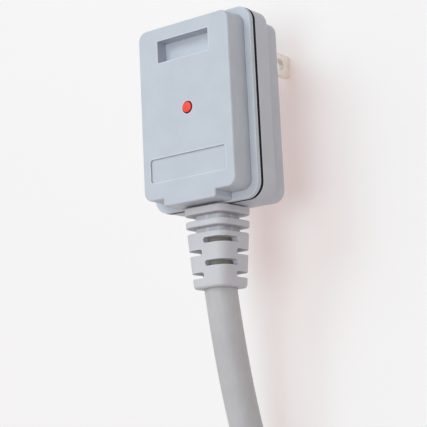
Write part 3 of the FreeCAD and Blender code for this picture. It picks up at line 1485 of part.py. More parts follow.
def write_parts():
    """Check every object and piece, then write one file for each piece."""
    document.recompute()
    for item in document.Objects:
        if "Invalid" in item.State or "Error" in item.State:
            raise ValueError("%s failed: %s" % (item.Name, item.State))
    for item in parts:
        if item.Shape.isNull() or not item.Shape.isValid() or item.Shape.Volume <= 0:
            raise ValueError("%s has no valid solid" % item.Label)
    os.makedirs("parts", exist_ok=True)
    for item in parts:
        item.Shape.exportStep("parts/%s.step" % item.Label)
        print("%-18s %d solids %10.2f mm3" % (item.Label, len(item.Shape.Solids), item.Shape.Volume))


front_casing()
rear_casing()
casing_seal()
casing_screws()
blade("left_blade", "-")
blade("right_blade", "")
blade_carrier()
blade_screws()
thermostat_cap()
bimetal_disc()
thermostat_base()
thermostat_cover()
striker_pin()
contact_arm()
moving_contact()
fixed_contact()
fixed_terminal()
arm_terminal()
arm_rivet()
reset_button()
button_spring()
strain_relief()
cord_clamp()
clamp_screws()
sheath_entry()
black_core()
black_strands()
white_lug()
white_core()
cord_run()
cord_coil()
coil_ties()
cord_tail()
far_core("far_black_core", 1)
far_core("far_white_core", -1)
far_terminals()
write_parts()
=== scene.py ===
import json
import logging
import math
from dataclasses import dataclass
from enum import Enum

import bmesh
import bpy
from mathutils import Matrix, Vector

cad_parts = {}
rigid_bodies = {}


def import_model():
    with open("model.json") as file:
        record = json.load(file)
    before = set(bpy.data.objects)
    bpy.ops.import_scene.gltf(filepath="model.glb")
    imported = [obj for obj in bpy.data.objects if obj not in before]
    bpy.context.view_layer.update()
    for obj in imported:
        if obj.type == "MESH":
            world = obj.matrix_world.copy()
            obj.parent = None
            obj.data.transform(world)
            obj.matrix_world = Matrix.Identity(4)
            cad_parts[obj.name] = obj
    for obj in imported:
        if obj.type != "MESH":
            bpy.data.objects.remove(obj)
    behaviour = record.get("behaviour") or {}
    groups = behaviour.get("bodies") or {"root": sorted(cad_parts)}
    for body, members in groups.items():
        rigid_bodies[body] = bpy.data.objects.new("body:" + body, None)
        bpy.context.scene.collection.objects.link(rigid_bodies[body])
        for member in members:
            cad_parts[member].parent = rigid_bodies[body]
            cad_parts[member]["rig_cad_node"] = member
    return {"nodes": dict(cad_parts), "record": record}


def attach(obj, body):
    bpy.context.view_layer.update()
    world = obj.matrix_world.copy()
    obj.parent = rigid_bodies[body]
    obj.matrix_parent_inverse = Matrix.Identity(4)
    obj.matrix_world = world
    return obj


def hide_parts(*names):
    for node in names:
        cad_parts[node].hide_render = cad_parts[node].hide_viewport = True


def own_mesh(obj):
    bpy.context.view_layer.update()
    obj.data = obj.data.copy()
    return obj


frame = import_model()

MM = 0.001
FULL_TURN = 2.0 * math.pi
STEPS_PER_SPAN = 6
SMOOTH_ORDER = 3
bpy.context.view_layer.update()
LOG = logging.getLogger("thermal_plug")
Colour = tuple[float, float, float]
Socket = bpy.types.NodeSocket


class Body(Enum):
    """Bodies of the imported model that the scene's own pieces ride on."""

    PLUG = "plug"
    BUTTON = "button"


def mm(*values: float) -> Vector:
    """Return a point given in millimetres as a vector in metres."""
    return Vector(values) * MM


def linked(name: str, data: bpy.types.ID) -> bpy.types.Object:
    """Put a new object into the scene.

    Args:
        name: Name of the object.
        data: Mesh, curve, light or camera that it shows.

    Returns:
        The object.
    """
    made = bpy.data.objects.new(name, data)
    bpy.context.scene.collection.objects.link(made)
    return made


def frozen(source: bpy.types.Object) -> bpy.types.Mesh:
    """Return what an object shows, modifiers and bevels included, as a plain mesh."""
    return bpy.data.meshes.new_from_object(
        source.evaluated_get(bpy.context.evaluated_depsgraph_get()))


def round_line(name: str, route: list[Vector], diameter: float, arc_steps: int) -> bpy.types.Object:
    """Draw a round tube along a smooth line.

    Args:
        name: Name of the curve and its object.
        route: Control points of the line.
        diameter: Diameter in millimetres.
        arc_steps: Fineness of the round section.

    Returns:
        The curve's object.
    """
    data = bpy.data.curves.new(name, "CURVE")
    data.dimensions = "3D"
    data.bevel_depth = diameter / 2.0 * MM
    data.bevel_resolution = arc_steps
    data.resolution_u = STEPS_PER_SPAN
    data.use_fill_caps = True
    spline = data.splines.new("NURBS")
    spline.points.add(len(route) - 1)
    for point, spot in zip(spline.points, route):
        point.co = (*spot, 1.0)
    spline.order_u = min(SMOOTH_ORDER, len(route))
    spline.use_endpoint_u = True
    return linked(name, data)


# Node trees


class Sketch:
    """A shader or geometry node tree while it is being drawn."""

    def __init__(self, tree: bpy.types.NodeTree) -> None:
        """Start on a tree.

        Args:
            tree: The tree that receives the nodes.
        """
        self.tree = tree

    def add(self, kind: str, inputs: dict | None = None, **settings: object) -> bpy.types.Node:
        """Add one node.

        Args:
            kind: Blender's name of the node type.
            inputs: Values, or other nodes' output sockets, by input name or number.
            settings: Properties of the node itself.

        Returns:
            The new node.
        """
        node = self.tree.nodes.new(kind)
        for name, value in settings.items():
            setattr(node, name, value)
        for name, value in (inputs or {}).items():
            if isinstance(value, Socket):
                self.tree.links.new(value, node.inputs[name])
            else:
                node.inputs[name].default_value = value
        return node

    def noise(self, place: Socket, grain_mm: float, detail: float = 2.0,
              roughness: float = 0.5) -> Socket:
        """Add a noise pattern whose lumps have a real size.

        Args:
            place: Coordinates that the pattern reads, in metres.
            grain_mm: Size of a lump.
            detail: Number of finer layers.
            roughness: Strength of the finer layers.

        Returns:
            The pattern's value, about 0.5 in the middle.
        """
        node = self.add("ShaderNodeTexNoise", {
            "Vector": place, "Scale": 1.0 / (grain_mm * MM), "Detail": detail,
            "Roughness": roughness})
        return node.outputs[0]

    def spread(self, value: Socket, low: float, high: float, floor: float = 0.0,
               top: float = 1.0) -> Socket:
        """Map one range of values to another, smoothly and without overshoot.

        Args:
            value: Socket that is mapped.
            low: Value that becomes floor.
            high: Value that becomes top.
            floor: First result.
            top: Last result.

        Returns:
            The mapped value.
        """
        node = self.add("ShaderNodeMapRange", {
            "Value": value, "From Min": low, "From Max": high, "To Min": floor, "To Max": top},
            interpolation_type="SMOOTHSTEP")
        return node.outputs[0]

    def mix(self, share: Socket, first: Colour | Socket, second: Colour | Socket) -> Socket:
        """Mix two colours.

        Args:
            share: Share of the second colour.
            first: Colour or socket at share 0.
            second: Colour or socket at share 1.

        Returns:
            The mixed colour.
        """
        def whole(colour: Colour | Socket) -> object:
            """Return a socket as it is, and a colour with its alpha."""
            return colour if isinstance(colour, Socket) else (*colour, 1.0)

        node = self.add("ShaderNodeMix", {0: share, 6: whole(first), 7: whole(second)},
                        data_type="RGBA")
        return node.outputs[2]

    def math(self, operation: str, first: object, second: object = 0.0) -> Socket:
        """Add one sum or product of two values and return its result."""
        return self.add("ShaderNodeMath", {0: first, 1: second}, operation=operation).outputs[0]


class Pattern(Sketch):
    """A Geometry Nodes tree with named inputs, for pieces that repeat or follow a rule."""

    def __init__(self, name: str, material: bpy.types.Material, **sizes: float) -> None:
        """Start the tree and give it one named input for each size.

        Args:
            name: Name of the tree.
            material: Material that its last node sets.
            sizes: Inputs in metres, radians or whole numbers, by name.
        """
        super().__init__(bpy.data.node_groups.new(name, "GeometryNodeTree"))
        face = self.tree.interface
        face.new_socket("Geometry", in_out="OUTPUT", socket_type="NodeSocketGeometry")
        face.new_socket("Geometry", in_out="INPUT", socket_type="NodeSocketGeometry")
        for label, value in sizes.items():
            kind = "NodeSocketInt" if isinstance(value, int) else "NodeSocketFloat"
            face.new_socket(label, in_out="INPUT", socket_type=kind)
        self.material = material
        self.sizes = sizes
        self.given = self.add("NodeGroupInput").outputs

    def feed(self, entry: Socket, values: list[Socket]) -> None:
        """Link several values, one after the other, to an input that takes many."""
        for value in values:
            self.tree.links.new(value, entry)

    def moved(self, geometry: Socket, way: Vector) -> Socket:
        """Return geometry that is moved by a vector."""
        return self.add("GeometryNodeTransform",
                        {"Geometry": geometry, "Translation": way}).outputs[0]

    def wound(self, section: Socket, turns: Socket, reach: Socket, height: Socket,
              steps: int) -> Socket:
        """Wind a wire with closed ends.

        Args:
            section: Curve of the wire's section.
            turns: Number of turns.
            reach: Radius of the winding.
            height: Height of the winding.
            steps: Steps for each turn.

        Returns:
            The wire's geometry.
        """
        helix = self.add("GeometryNodeCurveSpiral", {
            "Resolution": steps, "Rotations": turns, "Start Radius": reach,
            "End Radius": reach, "Height": height}).outputs[0]
        return self.add("GeometryNodeCurveToMesh", {
            "Curve": helix, "Profile Curve": section, "Fill Caps": True}).outputs[0]

    def close(self, geometry: Socket) -> None:
        """End the tree in Realize Instances and Set Material.

        Args:
            geometry: Everything that the tree has made.
        """
        whole = self.add("GeometryNodeRealizeInstances", {"Geometry": geometry}).outputs[0]
        dressed = self.add("GeometryNodeSetMaterial",
                           {"Geometry": whole, "Material": self.material})
        self.add("NodeGroupOutput", {0: dressed.outputs[0]})

    def piece(self, name: str) -> bpy.types.Object:
        """Run the tree once and keep what it makes as a plain mesh.

        Args:
            name: Name of the new piece.

        Returns:
            An object without modifiers.
        """
        carrier = linked(name, bpy.data.meshes.new(name))
        modifier = carrier.modifiers.new(name, "NODES")
        modifier.node_group = self.tree
        for item in self.tree.interface.items_tree:
            if item.in_out == "INPUT" and item.name in self.sizes:
                modifier[item.identifier] = self.sizes[item.name]
        made = frozen(carrier)
        carrier.modifiers.clear()
        carrier.data = made
        made.shade_smooth()
        return carrier


def tinted(colour: Colour, factor: float) -> Colour:
    """Return a colour made lighter or darker by a factor."""
    return tuple(min(1.0, part * factor) for part in colour)


def blank(name: str) -> tuple[bpy.types.Material, Sketch, Socket]:
    """Start a material from nothing.

    Args:
        name: Name of the material.

    Returns:
        The material, a sketch of its empty tree, and the Object coordinates.
    """
    made = bpy.data.materials.new(name)
    made.use_nodes = True
    made.node_tree.nodes.clear()
    draw = Sketch(made.node_tree)
    return made, draw, draw.add("ShaderNodeTexCoord").outputs["Object"]


# Finishes

# From where to where a noise or an occlusion value takes a finish from none to all of a tint
WIDE = (0.3, 0.7)
SPECKS = (0.66, 0.8)
SCUFFS = (0.64, 0.74)
STAINS = (0.48, 0.72)
# Occlusion range inside the body over which convex edges take a painted highlight
EDGE_HIGHLIGHT = (0.93, 0.7)
OCCLUSION_RAYS = 8
BEVEL_RAYS = 6


@dataclass(frozen=True)
class Moulded:
    """Moulded plastic or rubber: fine tool texture, faint flow marks, and a painted highlight along
    convex edges.
    """

    name: str
    colour: Colour
    roughness: float = 0.5
    grain_mm: float = 0.35
    grain_depth_mm: float = 0.006
    flow_mm: float = 9.0
    flow_share: float = 0.025
    # edge_mm rounds the edges' shading; edge_reach_mm and the lightening factor below it paint a
    # highlight along convex edges
    edge_mm: float = 0.1
    edge_reach_mm: float = 0.45
    edge_highlight: float = 1.22
    specular: float = 0.35
    # Crevice fields: painted shade, a darker copy of the colour in crevices, gaps and recess
    # corners
    crevice_mm: float = 0.22
    crevice_open: float = 0.8
    crevice_share: float = 0.9
    crevice_tint: float = 0.12
    speck_share: float = 0.12
    speck_tint: float = 0.72

    def material(self) -> bpy.types.Material:
        """Build the material.

        Returns:
            A material on Object coordinates.
        """
        made, draw, place = blank(self.name)
        flow = draw.noise(place, self.flow_mm, 3.0, 0.55)
        specks = draw.noise(place, self.grain_mm * 3.0, 1.0)
        grain = draw.noise(place, self.grain_mm, 2.0, 0.6)
        colour = draw.mix(draw.spread(flow, *WIDE), tinted(self.colour, 1.0 - self.flow_share),
                          tinted(self.colour, 1.0 + self.flow_share))
        colour = draw.mix(draw.spread(specks, *SPECKS, 0.0, self.speck_share), colour,
                          tinted(self.colour, self.speck_tint))
        soft = draw.add("ShaderNodeBevel", {"Radius": self.edge_mm * MM},
                        samples=BEVEL_RAYS).outputs[0]
        true = draw.add("ShaderNodeNewGeometry").outputs["True Normal"]
        # Painted highlight: convex edges, found by occlusion inside the body, are mixed towards a
        # lighter copy of the colour, patchy along the flow marks
        body_share = draw.add("ShaderNodeAmbientOcclusion", {
            "Distance": self.edge_reach_mm * MM, "Normal": true},
            samples=OCCLUSION_RAYS, inside=True).outputs["AO"]
        edge_highlight_mask = draw.spread(body_share, *EDGE_HIGHLIGHT)
        patchy_edge_highlight = draw.math("MULTIPLY", edge_highlight_mask, draw.spread(flow, 0.35, 0.6, 0.7, 1.0))
        colour = draw.mix(patchy_edge_highlight, colour, tinted(self.colour, self.edge_highlight))
        # Painted shade: occlusion darkens the colour in crevices, gaps and recesses
        open_share = draw.add("ShaderNodeAmbientOcclusion", {"Distance": self.crevice_mm * MM},
                              samples=OCCLUSION_RAYS).outputs["AO"]
        crevice_shade = draw.spread(open_share, self.crevice_open, 0.1, 0.0, self.crevice_share)
        colour = draw.mix(crevice_shade, colour, tinted(self.colour, self.crevice_tint))
        bump = draw.add("ShaderNodeBump", {
            "Height": grain, "Distance": self.grain_depth_mm * MM, "Strength": 0.8, "Normal": soft})
        gloss = draw.spread(flow, 0.2, 0.8, self.roughness - 0.05, self.roughness + 0.05)
        shader = draw.add("ShaderNodeBsdfPrincipled", {
            "Base Color": colour, "Roughness": gloss, "Normal": bump.outputs[0],
            "Specular IOR Level": self.specular})
        draw.add("ShaderNodeOutputMaterial", {0: shader.outputs[0]})
        return made


@dataclass(frozen=True)
class Metal:
    """Stamped or plated metal: fine lines along one axis, faint stains and bright edges."""

    name: str
    colour: Colour
    roughness: float = 0.3
    line_mm: tuple[float, float, float] = (0.08, 3.0, 0.08)
    line_depth_mm: float = 0.004
    stain: Colour = (0.30, 0.24, 0.18)
    stain_share: float = 0.25
    edge_mm: float = 0.15
    metallic: float = 1.0
    # Crevice fields: painted shade in holes and crevices, towards a darker copy of the stain's
    # colour
    crevice_mm: float = 0.7
    crevice_share: float = 0.7
    crevice_tint: float = 0.35

    def material(self) -> bpy.types.Material:
        """Build the material.

        Returns:
            A material on Object coordinates.
        """
        made, draw, place = blank(self.name)
        stretched = draw.add("ShaderNodeMapping", {
            "Vector": place, "Scale": [1.0 / size for size in self.line_mm]}).outputs[0]
        lines = draw.noise(stretched, 1.0, 2.0, 0.6)
        cloud = draw.noise(place, 2.4, 3.0, 0.6)
        fine = draw.noise(place, 0.4, 2.0)
        dulled = draw.math("MULTIPLY", draw.spread(cloud, *STAINS),
                           draw.spread(fine, 0.4, 0.7, 0.3, self.stain_share))
        tone = draw.mix(draw.spread(lines, 0.35, 0.65), tinted(self.colour, 0.93),
                        tinted(self.colour, 1.05))
        colour = draw.mix(dulled, tone, self.stain)
        # Painted shade: occlusion darkens holes and crevices towards the stain's colour
        open_share = draw.add("ShaderNodeAmbientOcclusion", {"Distance": self.crevice_mm * MM},
                              samples=OCCLUSION_RAYS).outputs["AO"]
        colour = draw.mix(draw.spread(open_share, 0.6, 0.15, 0.0, self.crevice_share), colour,
                          tinted(self.stain, self.crevice_tint))
        rough = draw.spread(cloud, 0.3, 0.75, self.roughness, self.roughness + 0.14)
        soft = draw.add("ShaderNodeBevel", {"Radius": self.edge_mm * MM},
                        samples=BEVEL_RAYS).outputs[0]
        bump = draw.add("ShaderNodeBump", {
            "Height": lines, "Distance": self.line_depth_mm * MM, "Strength": 0.6, "Normal": soft})
        shader = draw.add("ShaderNodeBsdfPrincipled", {
            "Base Color": colour, "Roughness": rough, "Normal": bump.outputs[0],
            "Metallic": self.metallic})
        draw.add("ShaderNodeOutputMaterial", {0: shader.outputs[0]})
        return made


@dataclass(frozen=True)
class Sheathing:
    """Extruded cable cover: long faint draw lines, dull bloom and small scuffs."""

    name: str
    colour: Colour
    roughness: float = 0.52
    draw_stretch: tuple[float, float, float] = (1.0, 0.12, 1.0)
    line_share: float = 0.3
    line_tint: float = 0.86
    scuff_share: float = 0.35
    scuff_tint: float = 1.18
    skin_depth_mm: float = 0.012

    def material(self) -> bpy.types.Material:
        """Build the material.

        Returns:
            A material on Object coordinates.
        """
        made, draw, place = blank(self.name)
        bloom = draw.noise(place, 14.0, 3.0, 0.55)
        drawn = draw.add("ShaderNodeMapping",
                         {"Vector": place, "Scale": self.draw_stretch}).outputs[0]
        lines = draw.noise(drawn, 0.9, 3.0, 0.6)
        skin = draw.noise(place, 0.3, 2.0, 0.6)
        scuffs = draw.spread(draw.noise(place, 1.7, 4.0, 0.7), *SCUFFS, 0.0, self.scuff_share)
        colour = draw.mix(draw.spread(bloom, *WIDE), tinted(self.colour, 0.95),
                          tinted(self.colour, 1.05))
        colour = draw.mix(draw.spread(lines, *WIDE, 0.0, self.line_share), colour,
                          tinted(self.colour, self.line_tint))
        colour = draw.mix(scuffs, colour, tinted(self.colour, self.scuff_tint))
        height = draw.math("ADD", draw.math("MULTIPLY", lines, 1.6), skin)
        bump = draw.add("ShaderNodeBump", {
            "Height": height, "Distance": self.skin_depth_mm * MM, "Strength": 0.7})
        rough = draw.spread(bloom, 0.25, 0.75, self.roughness - 0.06, self.roughness + 0.06)
        shader = draw.add("ShaderNodeBsdfPrincipled", {
            "Base Color": colour, "Roughness": rough, "Normal": bump.outputs[0],
            "Specular IOR Level": 0.35})
        draw.add("ShaderNodeOutputMaterial", {0: shader.outputs[0]})
        return made


Finish = Moulded | Metal | Sheathing


class Finishes:
    """Every finish of the plug, made once."""

    KINDS: tuple[Finish, ...] = (
        Moulded("front_shell", (0.520, 0.568, 0.633), roughness=0.46, flow_mm=7.0),
        Moulded("rear_shell", (0.540, 0.575, 0.632), roughness=0.48),
        # The boot's wider crevice reach paints shade under and between its flanges
        Moulded("boot", (0.575, 0.588, 0.628), roughness=0.55, grain_mm=0.25, edge_reach_mm=0.2,
                crevice_mm=0.8, crevice_share=0.8),
        Sheathing("sheath", (0.518, 0.522, 0.541)),
        # A darker copy of the sheath: painted shade for the lead seen inside the strain relief's
        # slots
        Sheathing("sheath_in_slots", (0.24, 0.235, 0.195)),
        Moulded("seal", (0.010, 0.010, 0.013), roughness=0.7, edge_highlight=1.2, crevice_share=0.8,
                specular=0.12),
        # Its wide crevice reach paints shade as a dark ring where the button stands in its hole
        Moulded("button_red", (0.950, 0.066, 0.034), roughness=0.30, grain_depth_mm=0.002,
                flow_share=0.05, edge_highlight=1.0, specular=0.5, crevice_mm=0.9,
                crevice_open=0.92, crevice_share=0.97),
        Metal("blade_plate", (1.0, 0.94, 0.86), roughness=0.36, metallic=0.6,
              stain=(0.62, 0.50, 0.40), stain_share=0.2, crevice_mm=0.4),
        Metal("contact_metal", (0.72, 0.50, 0.22), roughness=0.30, line_mm=(3.0, 0.08, 0.08)),
        Metal("contact_silver", (0.82, 0.81, 0.79), roughness=0.24, stain_share=0.12),
        Metal("strands", (0.76, 0.36, 0.20), roughness=0.32, stain_share=0.35),
        Metal("steel", (0.58, 0.58, 0.57), roughness=0.32),
        Metal("disc_metal", (0.50, 0.46, 0.40), roughness=0.36, line_mm=(3.0, 0.08, 0.08)),
        Metal("cap_metal", (0.74, 0.75, 0.76), roughness=0.30, stain_share=0.1),
        Moulded("phenolic", (0.030, 0.022, 0.018), roughness=0.42, flow_share=0.2),
        Moulded("carrier_white", (0.72, 0.70, 0.64), roughness=0.5),
        Moulded("core_black", (0.014, 0.014, 0.016), roughness=0.4, edge_highlight=1.8),
        Moulded("core_white", (0.78, 0.78, 0.75), roughness=0.42),
        Metal("tinned", (0.70, 0.70, 0.69), roughness=0.36, stain_share=0.15),
        Moulded("tie_nylon", (0.70, 0.70, 0.67), roughness=0.4),
    )

    def __init__(self) -> None:
        """Build all materials under the names of the record's slots."""
        self.made = {kind.name: kind.material() for kind in self.KINDS}

    def dress(self, piece: bpy.types.Object, finish: str) -> None:
        """Give a piece one finish.

        Args:
            piece: Object that is dressed.
            finish: Name of the finish.
        """
        piece.data.materials.clear()
        piece.data.materials.append(self.made[finish])


# Camera, light and ground


@dataclass
class Studio:
    """Pale ground under the blades, soft light and the camera at the photo's angle."""

    eye: Vector = mm(209.12, -103.44, 279.66)
    right: Vector = Vector((0.78335, -0.04617, -0.61986))
    upward: Vector = Vector((0.14546, 0.98316, 0.11060))
    back: Vector = Vector((0.60431, -0.17681, 0.77688))
    lens_mm: float = 115.2
    sensor_mm: float = 36.0
    sight: tuple[float, float] = (0.01, 20.0)
    aim: Vector = mm(0.0, -25.0, 0.0)
    ground_level: float = -16.7
    ground_half: float = 1600.0
    paper: Colour = (0.474, 0.580, 0.606)
    backlight: Colour = (0.44, 0.324, 0.30)
    surround: Colour = (1.0, 0.79, 0.71)
    surround_strength: float = 0.35

    def build(self) -> None:
        """Make the camera, the ground and the lights."""
        self.place_camera()
        self.lay_ground()
        self.hang_lights()
        scene = bpy.context.scene
        scene.view_settings.view_transform = "Standard"
        LOG.info("studio: camera at %s", tuple(round(part, 4) for part in self.eye))

    def place_camera(self) -> None:
        """Put the camera where the photo's view was solved."""
        data = bpy.data.cameras.new("photo_camera")
        data.lens = self.lens_mm
        data.sensor_width = self.sensor_mm
        data.clip_start, data.clip_end = self.sight
        camera = linked("photo_camera", data)
        turn = Matrix((self.right, self.upward, self.back)).transposed().to_4x4()
        camera.matrix_world = Matrix.Translation(self.eye) @ turn
        bpy.context.scene.camera = camera

    def lay_ground(self) -> None:
        """Lay the pale sheet, softly lit from below, that the blades and the lead rest on."""
        half, level = self.ground_half * MM, self.ground_level * MM
        mesh = bpy.data.meshes.new("ground")
        corners = [(-half, -half, level), (half, -half, level),
                   (half, half, level), (-half, half, level)]
        mesh.from_pydata(corners, [], [(0, 1, 2, 3)])
        ground = linked("ground", mesh)
        paper = bpy.data.materials.new("pale_paper")
        paper.use_nodes = True
        shader = paper.node_tree.nodes["Principled BSDF"]
        draw = Sketch(paper.node_tree)
        place = draw.add("ShaderNodeTexCoord").outputs["Object"]
        tooth = draw.noise(place, 60.0, 2.0)
        tone = draw.mix(tooth, tinted(self.paper, 0.99), tinted(self.paper, 1.01))
        paper.node_tree.links.new(tone, shader.inputs["Base Color"])
        shader.inputs["Roughness"].default_value = 0.9
        shader.inputs["Specular IOR Level"].default_value = 0.1
        shader.inputs["Emission Color"].default_value = (*self.backlight, 1.0)
        shader.inputs["Emission Strength"].default_value = 1.0
        mesh.materials.append(paper)

    def hang_lights(self) -> None:
        """Hang the key light, an overhead light, a wide softbox and an even warm surround."""
        self.hang("key_light", (-250.0, 480.0, 850.0), 500.0, 3.55, (0.748, 0.941, 1.0))
        self.hang("overhead_light", (230.0, -170.0, 1300.0), 700.0, 8.0, (0.90, 0.972, 1.0))
        self.hang("left_softbox", (-1250.0, 250.0, 1500.0), 2000.0, 6.3, (1.0, 0.945, 0.955))
        world = bpy.data.worlds.new("surround")
        world.use_nodes = True
        backdrop = world.node_tree.nodes["Background"]
        backdrop.inputs["Color"].default_value = (*self.surround, 1.0)
        backdrop.inputs["Strength"].default_value = self.surround_strength
        bpy.context.scene.world = world

    def hang(self, name: str, spot: tuple[float, float, float], size_mm: float, power: float,
             colour: Colour) -> None:
        """Hang one square light that faces the plug.

        Args:
            name: Name of the light.
            spot: Place in millimetres.
            size_mm: Length of its side.
            power: Power in watts.
            colour: Colour of the light.
        """
        data = bpy.data.lights.new(name, "AREA")
        data.size = size_mm * MM
        data.energy = power
        data.color = colour
        lamp = linked(name, data)
        lamp.location = mm(*spot)
        lamp.rotation_euler = (lamp.location - self.aim).to_track_quat("Z", "Y").to_euler()


# Lead


@dataclass
class Lead:
    """Heavy round two-core lead: free stretch, coil on its ties and tail, one smooth curve."""

    diameter: float = 8.4
    exit_level: float = 9.25
    exit_y: float = -61.4
    coil_level: float = -11.5
    lying_level: float = -12.5
    coil_centre: tuple[float, float] = (59.9, -170.0)
    coil_radius: float = 59.0
    coil_pitch: float = 9.0
    coil_layer: float = 9.0
    half_turns: int = 5
    points_per_turn: int = 16
    arc_steps: int = 6
    length: float = 1790.0

    def free_stretch(self) -> list[Vector]:
        """Return the route from the strain relief down to the coil's level."""
        return [
            mm(0.0, self.exit_y, self.exit_level),
            mm(0.0, -72.5, 7.55),
            mm(0.0, -93.5, 2.55),
            mm(0.0, -113.5, -4.9),
            mm(0.0, -131.0, -10.6),
            mm(0.9, -147.5, self.coil_level),
            mm(0.9, -161.6, self.coil_level),
        ]

    def coil(self) -> list[Vector]:
        """Return the coil's points: in on the lower layer, up, and out on the upper one."""
        count = self.points_per_turn
        # The smooth line runs a little inside its control points, which the swell makes up for.
        swell = 1.0 / (0.75 + 0.25 * math.cos(FULL_TURN / count))
        climb = self.half_turns + 0.5
        points = []
        for number in range(1, (2 * self.half_turns + 1) * count // 2):
            halves = 2.0 * number / count
            reach = self.coil_radius - (climb - abs(climb - halves)) * self.coil_pitch / 2.0
            share = min(max(halves - self.half_turns, 0.0), 1.0)
            rise = share * share * (3.0 - 2.0 * share) * self.coil_layer
            angle = math.pi * (1.0 + halves)
            points.append(mm(self.coil_centre[0] + math.cos(angle) * reach * swell,
                             self.coil_centre[1] + math.sin(angle) * reach * swell,
                             self.coil_level + rise))
        return points

    def tail(self) -> list[Vector]:
        """Return the route from the top of the coil down to the lead's far end."""
        x, top = self.coil_centre[0] + self.coil_radius, self.coil_level + self.coil_layer
        return [
            mm(x, -169.0, top),
            mm(x, -161.6, top),
            mm(x, -151.6, top),
            mm(x + 0.8, -140.1, top - 2.2),
            mm(x + 3.2, -128.2, top - 7.3),
            mm(x + 8.1, -116.6, self.lying_level),
            mm(x + 12.1, -107.0, self.lying_level),
        ]

    def build(self, finishes: Finishes) -> bpy.types.Object:
        """Lay the lead as one curve with a round section.

        Args:
            finishes: Finishes of the plug.

        Returns:
            The curve.
        """
        route = self.free_stretch() + self.coil() + self.tail()
        lead = round_line("lead", route, self.diameter, self.arc_steps)
        finishes.dress(lead, "sheath")
        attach(lead, Body.PLUG.value)
        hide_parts("cord_run", "cord_coil", "cord_tail")
        LOG.info("lead: %d points on its route", len(route))
        return lead


# Wires inside the casing and at the far end


